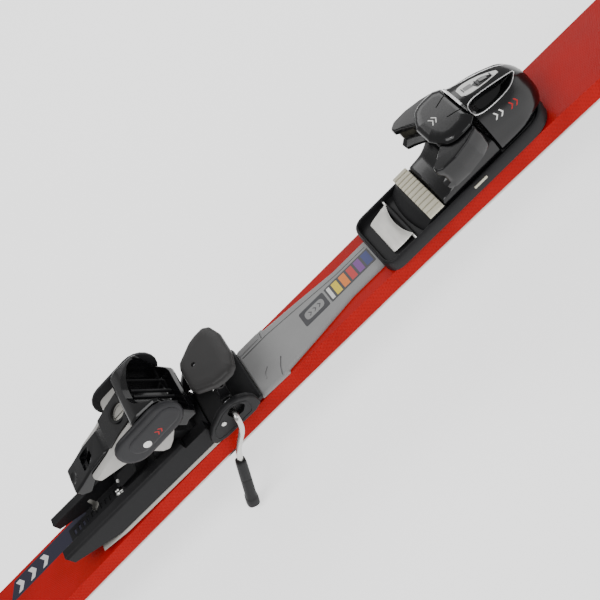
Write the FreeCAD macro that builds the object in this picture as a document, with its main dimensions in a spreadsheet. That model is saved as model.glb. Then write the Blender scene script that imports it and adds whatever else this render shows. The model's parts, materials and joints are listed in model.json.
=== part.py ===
import FreeCAD, Part
import math
import os

import Sketcher

# An alpine ski with its binding: running base, steel edges, core and cap; a toe piece with two
# wings on a sliding tray; a ski brake; and a step-in heel, modelled open, on its track.
# X points to the tip, Y to the left, Z up. The origin is on the running base at the middle of the
# boot sole. All sizes are in millimetres.

V = FreeCAD.Vector
doc = FreeCAD.newDocument("alpine_ski")
sheet = doc.addObject("Spreadsheet::Sheet", "Sizes")
parts = []


# ---------------------------------------------------------------- sizes that remember their formula

class Size:
    """A number in millimetres or degrees together with the expression that it comes from."""

    def __init__(self, value, formula=None):
        self.value = float(value)
        self.formula = formula or "(%.6g)" % self.value

    def __add__(self, other):
        other = as_size(other)
        return Size(self.value + other.value, "(%s + %s)" % (self.formula, other.formula))

    def __sub__(self, other):
        other = as_size(other)
        return Size(self.value - other.value, "(%s - %s)" % (self.formula, other.formula))

    def __mul__(self, other):
        other = as_size(other)
        return Size(self.value * other.value, "(%s * %s)" % (self.formula, other.formula))

    def __truediv__(self, other):
        other = as_size(other)
        return Size(self.value / other.value, "(%s / %s)" % (self.formula, other.formula))

    def __neg__(self):
        return Size(-self.value, "(-%s)" % self.formula)

    def __radd__(self, other):
        return as_size(other) + self

    def __rsub__(self, other):
        return as_size(other) - self

    def __rmul__(self, other):
        return as_size(other) * self


def as_size(number):
    return number if isinstance(number, Size) else Size(number)


def cell(alias, value):
    """Put a driving dimension in the spreadsheet and return it as a Size."""
    row = len(cell.rows) + 1
    cell.rows.append(alias)
    sheet.set("A%d" % row, alias)
    sheet.set("B%d" % row, str(value))
    sheet.setAlias("B%d" % row, alias)
    return Size(value, "Sizes." + alias)


cell.rows = []


def bind(item, target, size):
    item.setExpression(target, as_size(size).formula)


# ---------------------------------------------------------------- driving dimensions

ski_length = cell("ski_length", 1770)
tail_to_centre = cell("tail_to_centre", 795)
waist_half = cell("waist_half", 37.4)
waist_offset = cell("waist_offset", -30)
sidecut_radius = cell("sidecut_radius", 20000)
cap_bevel = cell("cap_bevel", 5.7)
ski_thickness = cell("ski_thickness", 15)
base_thickness = cell("base_thickness", 1.4)
base_proud = cell("base_proud", 0.05)
flat_base_half = cell("flat_base_half", 70)
edge_size = cell("edge_size", 2.2)
cap_thickness = cell("cap_thickness", 1.2)
camber = cell("camber", 7)
tip_rise = cell("tip_rise", 62)
tail_rise = cell("tail_rise", 14)
gap = cell("gap", 0.4)

plate_top = cell("plate_top", 18.6)
plate_rear = cell("plate_rear", -94)
plate_front = cell("plate_front", 240)
rail_half = cell("rail_half", 19)

tray_rear = cell("tray_rear", 63.5)
tray_front = cell("tray_front", 255)
tray_half = cell("tray_half", 35)
tray_rim = cell("tray_rim", 27)
tray_floor = cell("tray_floor", 20.6)
flap_axis_x = cell("flap_axis_x", 100)
flap_axis_z = cell("flap_axis_z", 23.4)
flap_length = cell("flap_length", 22)
flap_half = cell("flap_half", 24.5)
afd_rear = cell("afd_rear", 119.5)
afd_front = cell("afd_front", 135.5)
afd_half = cell("afd_half", 33)
afd_top = cell("afd_top", 36)
shield_top = cell("shield_top", 45.5)
wing_axis_x = cell("wing_axis_x", 178)
wing_axis_y = cell("wing_axis_y", 24)
wing_low = cell("wing_low", 46.2)
wing_high = cell("wing_high", 73.6)
wing_pin_radius = cell("wing_pin_radius", 3)
cover_low = cell("cover_low", 74.2)
cover_high = cell("cover_high", 80)
housing_rear = cell("housing_rear", 203)
housing_nose = cell("housing_nose", 260)
toe_bore_z = cell("toe_bore_z", 48)
toe_bore_radius = cell("toe_bore_radius", 10)

brake_axis_x = cell("brake_axis_x", -116)
brake_axis_z = cell("brake_axis_z", 38)
brake_wire_radius = cell("brake_wire_radius", 2.75)
brake_wire_y = cell("brake_wire_y", 44.8)
pad_axis_x = cell("pad_axis_x", -106)
pad_axis_z = cell("pad_axis_z", 60)
pad_low = cell("pad_low", 64)
pad_high = cell("pad_high", 72)

track_front = cell("track_front", -147)
track_rear = cell("track_rear", -325)
track_rim = cell("track_rim", 41)
track_low_rim = cell("track_low_rim", 35.8)
track_floor = cell("track_floor", 25)
channel_half = cell("channel_half", 14.8)
lifter_top = cell("lifter_top", 19)
heel_axis_x = cell("heel_axis_x", -182)
heel_axis_z = cell("heel_axis_z", 50)
heel_open = cell("heel_open", 30)
shell_half = cell("shell_half", 22)
cup_half = cell("cup_half", 31)
heel_pin_radius = cell("heel_pin_radius", 3)
lever_axis_x = cell("lever_axis_x", -8)
lever_axis_z = cell("lever_axis_z", 38)
lever_half = cell("lever_half", 15.2)

doc.recompute()


# ---------------------------------------------------------------- ways of making a piece

SIDES = (-1, 1)

# Each sketch plane: its role in the body's origin, the sign of a pad along its axis, that axis.
PLANES = {
    "XY": ("XY_Plane", 1, V(0, 0, 1)),
    "XZ": ("XZ_Plane", -1, V(0, 1, 0)),
    "YZ": ("YZ_Plane", 1, V(1, 0, 0)),
}


def flat(point, plane):
    """The two sketch coordinates of a point in space."""
    return {"XY": (point.x, point.y), "XZ": (point.x, point.z), "YZ": (point.y, point.z)}[plane]


def sketch_on(body, plane, offset, outline):
    """A closed polygon on one of the body's origin planes, every corner tied to its size."""
    role = PLANES[plane][0]
    support = [feature for feature in body.Origin.OriginFeatures if feature.Role == role][0]
    sketch = body.newObject("Sketcher::SketchObject", body.Name + "_sketch")
    sketch.AttachmentSupport = [(support, "")]
    sketch.MapMode = "FlatFace"
    bind(sketch, "AttachmentOffset.Base.z", offset)
    corners = [(as_size(a), as_size(b)) for a, b in outline]
    spots = [V(a.value, b.value, 0) for a, b in corners]
    count = len(spots)
    lines = [Part.LineSegment(spots[i], spots[(i + 1) % count]) for i in range(count)]
    sketch.addGeometry(lines, False)
    joins = [Sketcher.Constraint("Coincident", i, 2, (i + 1) % count, 1) for i in range(count)]
    sketch.addConstraint(joins)
    for i, corner in enumerate(corners):
        for kind, size in zip(("DistanceX", "DistanceY"), corner):
            index = sketch.addConstraint(Sketcher.Constraint(kind, -1, 1, i, 1, size.value))
            if "Sizes." in size.formula:
                bind(sketch, "Constraints[%d]" % index, size)
    return sketch


def round_corners(body, feature, plane, corners, radius):
    """Fillet the pad's edges that stand on the given corners of its outline."""
    doc.recompute()
    axis = PLANES[plane][2]
    names = []
    for number, edge in enumerate(feature.Shape.Edges, 1):
        if len(edge.Vertexes) < 2:
            continue
        start, end = edge.Vertexes[0].Point, edge.Vertexes[1].Point
        if (end - start).cross(axis).Length > 0.5 * (end - start).Length:
            continue
        ends = (flat(start, plane), flat(end, plane))
        for corner in corners:
            if min(math.dist(here, corner) for here in ends) < 0.05:
                names.append("Edge%d" % number)
    fillet = body.newObject("PartDesign::Fillet", body.Name + "_round")
    fillet.Base = (feature, names)
    bind(fillet, "Radius", radius)
    return fillet


def prism(name, plane, outline, low, high, rounds=()):
    """A padded polygon from low to high; rounds lists (corner numbers, radius)."""
    low, high = as_size(low), as_size(high)
    body = doc.addObject("PartDesign::Body", name)
    offset = low if PLANES[plane][1] > 0 else -high
    sketch = sketch_on(body, plane, offset, outline)
    feature = body.newObject("PartDesign::Pad", name + "_pad")
    feature.Profile = sketch
    bind(feature, "Length", high - low)
    for numbers, radius in rounds:
        spots = [tuple(as_size(value).value for value in outline[number]) for number in numbers]
        feature = round_corners(body, feature, plane, spots, radius)
    return body


def lofted(name, plane, sections, ruled=False):
    """A loft through closed polygons; sections lists (offset, outline)."""
    body = doc.addObject("PartDesign::Body", name)
    sketches = [sketch_on(body, plane, offset, outline) for offset, outline in sections]
    loft = body.newObject("PartDesign::AdditiveLoft", name + "_loft")
    loft.Profile = sketches[0]
    loft.Sections = sketches[1:]
    loft.Ruled = ruled
    return body


def block(name, x, y, z):
    """A box given by its (low, high) pair along each axis."""
    box = doc.addObject("Part::Box", name)
    for side, letter, pair in zip(("Length", "Width", "Height"), "xyz", (x, y, z)):
        low, high = as_size(pair[0]), as_size(pair[1])
        bind(box, side, high - low)
        bind(box, "Placement.Base." + letter, low)
    return box


def rod(name, start, direction, radius, length):
    """A cylinder from a start point along a direction."""
    cylinder = doc.addObject("Part::Cylinder", name)
    bind(cylinder, "Radius", radius)
    bind(cylinder, "Height", length)
    base = [as_size(value) for value in start]
    turn = FreeCAD.Rotation(V(0, 0, 1), V(*direction))
    cylinder.Placement = FreeCAD.Placement(V(*[value.value for value in base]), turn)
    for letter, value in zip("xyz", base):
        bind(cylinder, "Placement.Base." + letter, value)
    return cylinder


def rod_between(name, start, end, radius):
    """A cylinder from one point to another."""
    way = V(*[as_size(b).value - as_size(a).value for a, b in zip(start, end)])
    return rod(name, start, tuple(way), radius, way.Length)


def ball(name, centre, radius):
    sphere = doc.addObject("Part::Sphere", name)
    bind(sphere, "Radius", radius)
    for letter, value in zip("xyz", centre):
        bind(sphere, "Placement.Base." + letter, value)
    return sphere


def cross_rod(name, x, z, half, radius):
    """A cylinder across the ski, centred on its middle plane."""
    return rod(name, (x, -as_size(half), z), (0, 1, 0), radius, as_size(half) * 2)


def cut(name, base, *tools):
    for tool in tools:
        result = doc.addObject("Part::Cut", name + "_cut")
        result.Base = base
        result.Tool = tool
        base = result
    return base


def fuse(name, *pieces):
    result = doc.addObject("Part::MultiFuse", name + "_fuse")
    result.Shapes = list(pieces)
    return result


def group(name, *pieces):
    """Separate solids that share one node."""
    result = doc.addObject("Part::Compound", name + "_group")
    result.Links = list(pieces)
    return result


def mirrored(name, piece):
    """The same piece on the other side of the ski's middle plane."""
    result = doc.addObject("Part::Mirroring", name)
    result.Source = piece
    result.Normal = V(0, 1, 0)
    return result


def shaped(name, shape):
    feature = doc.addObject("Part::Feature", name)
    feature.Shape = shape
    return feature


def node(label, piece):
    """Register a finished sub-part under the name of its file."""
    piece.Label = label
    parts.append(piece)
    return piece


def both_sides(outline):
    """Close an outline given for the left half, from rear to front, with its mirror image."""
    return list(outline) + [(x, -as_size(y)) for x, y in reversed(outline)]


def coil(start, direction, radius, wire_radius, length, turns):
    """A round wire spring as a swept helix."""
    pitch = length / turns
    helix = Part.makeHelix(pitch, length, radius)
    section = Part.Wire([Part.makeCircle(wire_radius, V(radius, 0, 0), V(0, 1, 0))])
    spring = Part.Wire(helix.Edges).makePipeShell([section], True, True)
    spring.Placement = FreeCAD.Placement(V(*start), FreeCAD.Rotation(V(0, 0, 1), V(*direction)))
    return spring


# ---------------------------------------------------------------- the ski

TAIL = -tail_to_centre.value
TIP = ski_length.value - tail_to_centre.value
TAIL_WIDEST = TAIL + 55
TIP_WIDEST = TIP - 125
FLAT_HALF = 60
CONTACT = 700
END_HALF = 7


def smooth(share):
    share = max(0.0, min(1.0, share))
    return share * share * (3 - 2 * share)


def half_width(x):
    """Half the base's width: a sidecut arc, closed by a round tip and tail."""
    middle = min(max(x, TAIL_WIDEST), TIP_WIDEST) - waist_offset.value
    side = waist_half.value + middle ** 2 / (2 * sidecut_radius.value)
    reach = 0.0
    if x > TIP_WIDEST:
        reach = (x - TIP_WIDEST) / (TIP - TIP_WIDEST)
    if x < TAIL_WIDEST:
        reach = (TAIL_WIDEST - x) / (TAIL_WIDEST - TAIL)
    return max(END_HALF, side * math.sqrt(max(0.0, 1 - reach ** 2.4)))


def base_height(x):
    """Height of the running base: flat under the foot, camber, then the shovel and the tail."""
    drop = camber.value * smooth((abs(x) - FLAT_HALF) / (CONTACT - FLAT_HALF))
    shovel = tip_rise.value * max(0.0, (x - 770) / (TIP - 770)) ** 1.8
    kick = tail_rise.value * max(0.0, (-x - 715) / (-TAIL - 715)) ** 1.6
    return shovel + kick - drop


def thickness(x):
    """Full thickness of the ski: thick under the binding, thin at both ends."""
    return ski_thickness.value - 9.5 * smooth((abs(x) - 230) / 620) ** 0.9


def stations():
    """Places of the cross-sections, closer together towards the round ends."""
    body = [TAIL_WIDEST + (TIP_WIDEST - TAIL_WIDEST) * i / 24 for i in range(25)]
    ends = [math.sin(math.pi / 2 * i / 7) for i in range(1, 8)]
    tail = [TAIL_WIDEST - (TAIL_WIDEST - TAIL) * share for share in reversed(ends)]
    tip = [TIP_WIDEST + (TIP - TIP_WIDEST) * share for share in ends]
    return tail + body + tip


def ski_layer(section):
    """Loft one layer of the ski; section(x) gives its outline as (y, height above the base)."""
    wires = []
    for x in stations():
        spots = [V(x, y, base_height(x) + height) for y, height in section(x)]
        wires.append(Part.makePolygon(spots + spots[:1]))
    return Part.makeLoft(wires, True, True)


def cap_outlines(x):
    """Outer and inner outline of the cap: feet on the steel edges, bevels and a flat top."""
    half, top = half_width(x), thickness(x)
    bevel = min(cap_bevel.value, 0.3 * half)
    wall, edge = cap_thickness.value, edge_size.value
    outer = [(half, edge), (half - bevel, top), (bevel - half, top), (-half, edge)]
    foot = half - wall - 0.4
    inner = [(foot, edge), (foot - bevel, top - wall), (bevel - foot, top - wall), (-foot, edge)]
    return outer, inner


def cap_section(x):
    outer, inner = cap_outlines(x)
    return outer + list(reversed(inner))


def core_section(x):
    inner = cap_outlines(x)[1]
    rebate = half_width(x) - edge_size.value
    sole = base_thickness.value
    return [(rebate, sole), (rebate, edge_size.value)] + inner + [(-rebate, edge_size.value), (-rebate, sole)]


def base_section(x):
    rebate = half_width(x) - edge_size.value
    sole = base_thickness.value
    low = -base_proud.value
    return [(rebate, low), (rebate, sole), (-rebate, sole), (-rebate, low)]


def edge_section(x):
    half, size = half_width(x), edge_size.value
    return [(half - size, 0), (half, 0), (half, size), (half - size, size)]


SCREW_SPOTS = {"plate_screws_front": (95, 215), "plate_screws_rear": (-165, -285)}


def binding_screws():
    """Countersunk screws through the rail and the lifter into the core."""
    for label, places in SCREW_SPOTS.items():
        screws = []
        for x in places:
            for y in (-11, 11):
                shank = rod(label + "_shank", (x, y, 5), (0, 0, 1), 2, 11)
                head = rod(label + "_head", (x, y, 16), (0, 0, 1), 4.2, plate_top - 16)
                slot = block(label + "_slot", (x - 3, x + 3), (y - 0.6, y + 0.6), (17.6, 20))
                screws.append(cut(label + "_one", fuse(label + "_both", shank, head), slot))
        node(label, group(label, *screws))


def screw_holes(name, low, high, radius):
    """One tool with a cylinder at every binding screw."""
    holes = []
    for places in SCREW_SPOTS.values():
        for x in places:
            for y in (-11, 11):
                holes.append(rod(name, (x, y, low), (0, 0, 1), radius, as_size(high) - low))
    return fuse(name + "_all", *holes)


def make_ski():
    """The base stands a hair proud of its edges and is ground flat under the boot."""
    sole = shaped("base_blank", ski_layer(base_section))
    grind = block("base_grind", (-flat_base_half, flat_base_half), (-60, 60), (-5, 0))
    node("ski_base", cut("ski_base", sole, grind))
    left_edge = node("steel_edge_left", shaped("steel_edge_left", ski_layer(edge_section)))
    node("steel_edge_right", mirrored("steel_edge_right", left_edge))
    core = shaped("core_blank", ski_layer(core_section))
    node("ski_core", cut("ski_core", core, screw_holes("core_hole", 5, 16, 2)))
    cap = shaped("cap_blank", ski_layer(cap_section))
    node("ski_cap", cut("ski_cap", cap, screw_holes("cap_hole", 5, 16, 2)))
    binding_screws()


# ---------------------------------------------------------------- the plate under the boot

def make_plate():
    outline = both_sides([
        (plate_rear, 31), (-66, 31.5), (-60, 31.5), (-60, 28.5), (-20, 24.5), (25, rail_half),
        (plate_front, rail_half)])
    blank = prism("plate_blank", "XY", outline, ski_thickness, plate_top)
    bores = screw_holes("plate_bore", 10, 16, 2)
    seats = screw_holes("plate_seat", 16, 22, 4.2)
    node("centre_plate", cut("centre_plate", blank, bores, seats))
    sticker_top = plate_top + 0.2
    node("scale_sticker", block("scale_sticker", (8, 62), (-9, 9), (plate_top, sticker_top)))
    pill = prism("plate_label", "XY", [(-24, -9), (6, -9), (6, 9), (-24, 9)], plate_top, sticker_top,
                 [((0, 1, 2, 3), 2)])
    node("plate_label", pill)


# ---------------------------------------------------------------- the toe piece

CLIP_X = (164, 178)
CLIP_Z = (21.5, 24.5)


def make_tray():
    outline = [(tray_rear, -tray_half), (tray_front, -tray_half),
               (tray_front, tray_half), (tray_rear, tray_half)]
    rounds = [((0, 3), 15), ((1, 2), 29)]
    shell = prism("tray_shell", "XY", outline, ski_thickness + 0.3, tray_rim, rounds)
    inner_half = tray_half - 4.2
    inner = [(tray_rear + 10, -inner_half), (tray_front - 7, -inner_half),
             (tray_front - 7, inner_half), (tray_rear + 10, inner_half)]
    cavity = prism("tray_cavity", "XY", inner, tray_floor, tray_rim + 5, [((0, 3), 8), ((1, 2), 24)])
    tunnel_half = rail_half + 0.8
    tunnel = block("tray_tunnel", (tray_rear - 9, tray_front + 9), (-tunnel_half, tunnel_half),
                   (10, plate_top + gap + 0.2))
    pin_way = cross_rod("tray_pin_way", flap_axis_x, flap_axis_z, 33, 1.5)
    slots = [block("tray_slot", CLIP_X, (side * 34.1 - 1.5, side * 34.1 + 1.5), CLIP_Z) for side in SIDES]
    node("toe_tray", cut("toe_tray", shell, cavity, tunnel, pin_way, *slots))
    clips = [block("tray_clip", CLIP_X, (side * 33.7 - 1.1, side * 33.7 + 1.1), CLIP_Z) for side in SIDES]
    node("tray_clips", group("tray_clips", *clips))


def make_flap():
    node("flap_pin", cross_rod("flap_pin", flap_axis_x, flap_axis_z, 32.5, 1.5))
    rear = flap_axis_x - flap_length
    outline = [(rear, -flap_half + 2), (flap_axis_x, -flap_half),
               (flap_axis_x, flap_half), (rear, flap_half - 2)]
    leaf = prism("flap_leaf", "XY", outline, flap_axis_z - 1.2, flap_axis_z + 0.6, [((0, 3), 4)])
    barrel = cross_rod("flap_barrel", flap_axis_x, flap_axis_z, flap_half, 2.6)
    bore = cross_rod("flap_bore", flap_axis_x, flap_axis_z, flap_half + 2, 1.65)
    node("lock_flap", cut("lock_flap", fuse("flap_whole", leaf, barrel), bore))


def afd_outline():
    """Cross-section of the sliding pad: crowned, with a groove between each two ribs."""
    ribs, half, crown = 11, afd_half.value, 130.0
    step = 2 * half / ribs
    outline = []
    for rib in range(ribs):
        left = -half + rib * step
        for across, depth in ((0.4, 0), (step - 0.4, 0), (step - 0.4, 0.9), (step + 0.4, 0.9)):
            y = left + across
            if rib == ribs - 1 and depth:
                continue
            outline.append((y, afd_top - y * y / (2 * crown) - depth))
    outline += [(afd_half - 0.4, afd_top - 5), (0.4 - afd_half, afd_top - 5)]
    return outline


def make_afd():
    ramp = [(flap_axis_x + 4.6, tray_floor), (flap_axis_x + 4.6, 22.5), (afd_rear, afd_top - 5.6),
            (afd_front + 0.8, afd_top - 5.6), (afd_front + 0.8, tray_floor)]
    blank = prism("afd_ramp", "XZ", ramp, -30, 30)
    key_slot = block("afd_slot", (123.5, 131.5), (-14, 14), (26.5, 32))
    node("afd_base", cut("afd_base", blank, key_slot))
    pad = prism("afd_plate", "YZ", afd_outline(), afd_rear, afd_front)
    key = block("afd_key", (124, 131), (-7, 7), (27.2, afd_top - 4.5))
    node("afd_pad", fuse("afd_pad", pad, key))


def make_toe_body():
    rear, step, front = 136.6, 201, 230
    profile = [(rear, tray_floor), (rear, 33.5), (151, 36), (160, 41.5), (165, shield_top),
               (step, shield_top), (step, tray_rim), (front, tray_rim), (front, tray_floor)]
    blank = prism("toe_blank", "XZ", profile, -29.5, 29.5)
    seats = [rod("toe_pin_seat", (wing_axis_x, side * wing_axis_y, 38), (0, 0, 1), wing_pin_radius, 10)
             for side in SIDES]
    node("toe_body", cut("toe_body", blank, *seats))


def housing_section(x, low_half, belly_half, belly, shoulder_half, shoulder, ridge_half, ridge):
    low = 27
    left = [(low_half, low), (belly_half, belly), (shoulder_half, shoulder), (ridge_half, ridge)]
    return x, left + [(-y, z) for y, z in reversed(left)]


def make_toe_housing():
    sections = [
        housing_section(housing_rear, 30, 30, 44, 23, 73, 11, 81),
        housing_section(housing_rear + 20, 29.5, 29.5, 42, 22, 68.5, 11, 75.5),
        housing_section(housing_rear + 40, 24, 25, 39, 18, 60, 9.5, 67.5),
        housing_section(housing_rear + 52, 16, 17.5, 36, 13, 50, 7, 57.5),
        housing_section(housing_nose, 8, 10, 33, 8, 43, 4, 48)]
    shell = lofted("housing_shell", "YZ", sections, ruled=True)
    bore = rod("housing_bore", (housing_rear - 1, 0, toe_bore_z), (1, 0, 0), toe_bore_radius, 45)
    mouth = rod("housing_mouth", (housing_rear + 40, 0, toe_bore_z), (1, 0, 0), 5.4, 20)
    slot = block("housing_slot", (220, 246), (-2.6, 2.6), (54, 80))
    lamp = window_plate("housing_window_seat", 1.2, -0.6)
    node("toe_housing", cut("toe_housing", shell, bore, mouth, slot, lamp))
    node("scale_window", window_plate("scale_window", 1.4, -0.6))


def window_plate(name, thick, sink):
    """The lens-shaped plate on the slope of the housing."""
    outline = [(0, -2), (9, -7), (22, -7), (40, -1.5), (40, 1.5), (22, 7), (9, 7), (0, 2)]
    plate = prism(name, "XY", outline, 0, thick)
    slope = FreeCAD.Rotation(V(0, 1, 0), math.degrees(math.atan2(8, 20)) - 6.2)
    plate.Placement = FreeCAD.Placement(V(205, 0, 80.7 + sink), slope)
    return plate


def make_toe_inside():
    piston = rod("piston_disc", (housing_rear + 1, 0, toe_bore_z), (1, 0, 0), toe_bore_radius - 0.3, 6)
    nose = rod("piston_nose", (housing_rear + 7, 0, toe_bore_z), (1, 0, 0), 5.6, 4)
    well = rod("piston_well", (housing_rear + 5, 0, toe_bore_z), (1, 0, 0), 4.6, 20)
    node("toe_piston", cut("toe_piston", fuse("piston_whole", piston, nose), well))
    spring = coil((housing_rear.value + 9, 0, toe_bore_z.value), (1, 0, 0), 7.8, 1.3, 18.5, 4)
    node("toe_spring", shaped("toe_spring", spring))
    nut = rod("indicator_nut", (housing_rear + 34, 0, toe_bore_z), (1, 0, 0), toe_bore_radius - 0.4, 4)
    flag = block("indicator_flag", (housing_rear + 34, housing_rear + 38), (-2, 2), (toe_bore_z + 6, 62))
    hole = rod("indicator_hole", (housing_rear + 30, 0, toe_bore_z), (1, 0, 0), 4.4, 12)
    node("release_indicator", cut("release_indicator", fuse("indicator_whole", nut, flag), hole))
    shank = rod("toe_screw_shank", (housing_rear + 6, 0, toe_bore_z), (1, 0, 0), 4, 48)
    head = rod("toe_screw_head", (housing_rear + 46, 0, toe_bore_z), (1, 0, 0), 5, 9)
    slot = block("toe_screw_slot", (housing_rear + 53, housing_rear + 56), (-6, 6),
                 (toe_bore_z - 0.8, toe_bore_z + 0.8))
    node("toe_release_screw", cut("toe_release_screw", fuse("toe_screw_whole", shank, head), slot))


def make_wings():
    """Two jaws that turn outwards on upright pins and hold the boot's toe between their tips."""
    outline = [(149, 32), (155, 27), (163, 20), (172, 14.5), (184, 14.5), (189, 20), (198, 27),
               (197, 34), (184, 39), (168, 42.5), (153, 41.5), (148.5, 37.5)]
    claw = prism("wing_claw", "XY", outline, wing_low, wing_high,
                 [((0, 11), 1.6), ((3, 4), 4), ((6, 7), 2.5), ((10,), 4)])
    relief = prism("wing_relief", "XZ", [(140, 40), (147, 49), (165, 45), (165, 40)], 0, 60)
    slope = prism("wing_slope", "XZ", [(140, 80), (140, 68), (150, 69), (163, 80)], 0, 60)
    bore = rod("wing_bore", (wing_axis_x, wing_axis_y, 40), (0, 0, 1), wing_pin_radius + 0.15, 40)
    left = node("wing_left", cut("wing_left", claw, relief, slope, bore))
    node("wing_right", mirrored("wing_right", left))
    pins = [rod("wing_pin", (wing_axis_x, side * wing_axis_y, 38), (0, 0, 1), wing_pin_radius, 40)
            for side in SIDES]
    node("wing_pins", group("wing_pins", *pins))
    lid_outline = both_sides([(162, 11), (171, 30), (186, 30.5), (202, 19)])
    lid = prism("toe_lid", "XY", lid_outline, cover_low, cover_high, [((1, 2, 5, 6), 5)])
    post = block("toe_post", (167, 201), (-10, 10), (shield_top, cover_low))
    seats = [rod("lid_pin_seat", (wing_axis_x, side * wing_axis_y, 70), (0, 0, 1), wing_pin_radius, 8)
             for side in SIDES]
    node("toe_cover", cut("toe_cover", fuse("toe_cover_whole", lid, post), *seats))


def make_toe():
    make_tray()
    make_flap()
    make_afd()
    make_toe_body()
    make_toe_housing()
    make_toe_inside()
    make_wings()


# ---------------------------------------------------------------- the brake

FOOT_TOP = (-147.5, 47, 0)
FOOT_END = (-180, 48, -58)


def make_brake_base():
    floor = block("brake_floor", (-146.6, -95), (-33, 33), (lifter_top, 24))
    cheek_outline = [(-151, 16), (-97, 16), (-96, 38), (-104, 49), (-122, 50), (-140, 42), (-151, 30)]
    cheek = prism("brake_cheek", "XZ", cheek_outline, 33, 39, [((3, 4, 5), 7), ((0, 6), 4)])
    other = mirrored("brake_cheek_right", cheek)
    bore = cross_rod("brake_bore", brake_axis_x, brake_axis_z, 45, brake_wire_radius + 0.3)
    node("brake_base", cut("brake_base", fuse("brake_base_whole", floor, cheek, other), bore))
    rivets = [rod("brake_rivet", (-130, side * 39, 37), (0, side, 0), 2.4, 1) for side in SIDES]
    node("brake_rivets", group("brake_rivets", *rivets))


def make_brake_arms():
    axis = (brake_axis_x, 10, brake_axis_z)
    elbow = (brake_axis_x, brake_wire_y, brake_axis_z)
    wire = fuse("brake_wire",
                rod_between("wire_axle", axis, elbow, brake_wire_radius),
                ball("wire_elbow", elbow, brake_wire_radius),
                rod_between("wire_leg", elbow, FOOT_TOP, brake_wire_radius),
                ball("wire_knee", FOOT_TOP, brake_wire_radius),
                rod_between("wire_tail", FOOT_TOP, blend(FOOT_TOP, FOOT_END, 0.35), brake_wire_radius))
    left = node("brake_arm_left", wire)
    node("brake_arm_right", mirrored("brake_arm_right", left))
    start = blend(FOOT_TOP, FOOT_END, 0.05)
    nub_start, nub_end = blend(FOOT_TOP, FOOT_END, 0.9), blend(FOOT_TOP, FOOT_END, 1.03)
    sleeve = fuse("foot_sleeve", rod_between("foot_rod", start, FOOT_END, 5.6),
                  rod_between("foot_nub", nub_start, nub_end, 6.6))
    foot = node("brake_foot_left", cut("brake_foot_left", sleeve, wire))
    node("brake_foot_right", mirrored("brake_foot_right", foot))


def blend(start, end, share):
    return tuple(a + (b - a) * share for a, b in zip(start, end))


def make_brake_frame():
    hub = cross_rod("frame_hub", brake_axis_x, brake_axis_z, 24, 5.6)
    web_outline = [(brake_axis_x - 5, brake_axis_z + 1), (brake_axis_x + 5, brake_axis_z - 1),
                   (pad_axis_x + 3, pad_axis_z - 1.5), (pad_axis_x - 3, pad_axis_z + 1.5)]
    web = prism("frame_web", "XZ", web_outline, -21, 21)
    barrel = cross_rod("frame_barrel", pad_axis_x, pad_axis_z, 21, 3.6)
    axle_way = cross_rod("frame_axle_way", brake_axis_x, brake_axis_z, 30, brake_wire_radius)
    pin_way = cross_rod("frame_pin_way", pad_axis_x, pad_axis_z, 30, 2)
    heads, seats = [], []
    normal = (-0.91, 0, 0.41)
    for y in (-12, 12):
        spot = (-116.4, y, 49.6)
        heads.append(rod("frame_screw", spot, normal, 3.2, 2.2))
        seats.append(rod("frame_seat", spot, normal, 3.2, 6))
    node("brake_frame", cut("brake_frame", fuse("frame_whole", hub, web, barrel), axle_way, pin_way, *seats))
    node("brake_screws", group("brake_screws", *heads))
    springs = []
    for low in (-30.6, 26):
        start = (brake_axis_x.value, low, brake_axis_z.value)
        springs.append(shaped("brake_coil", coil(start, (0, 1, 0), 4.4, 0.8, 4.6, 2)))
    node("brake_springs", group("brake_springs", *springs))


def make_brake_pad():
    outline = both_sides([(-124, 17), (-110, 29.5), (-100, 31.5), (-90, 31.5), (-84, 27), (-80, 14)])
    plate = prism("pad_plate", "XY", outline, pad_low, pad_high, [((0, 11), 6), ((2, 3, 8, 9), 5)])
    lug_x = (pad_axis_x - 4, pad_axis_x + 4)
    lugs = [block("pad_lug", lug_x, lug_y, (pad_axis_z - 4, pad_low)) for lug_y in ((21.6, 26), (-26, -21.6))]
    pin_way = cross_rod("pad_pin_way", pad_axis_x, pad_axis_z, 30, 2.15)
    screw_room = block("pad_screw_room", (-127, -113), (-16.5, 16.5), (pad_low - 1, pad_low + 3.2))
    node("brake_pad", cut("brake_pad", fuse("pad_whole", plate, *lugs), pin_way, screw_room))
    node("brake_pad_pin", cross_rod("brake_pad_pin", pad_axis_x, pad_axis_z, 25.8, 2))


def make_brake():
    make_brake_base()
    make_brake_arms()
    make_brake_frame()
    make_brake_pad()


# ---------------------------------------------------------------- the heel's track and carriage

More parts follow.
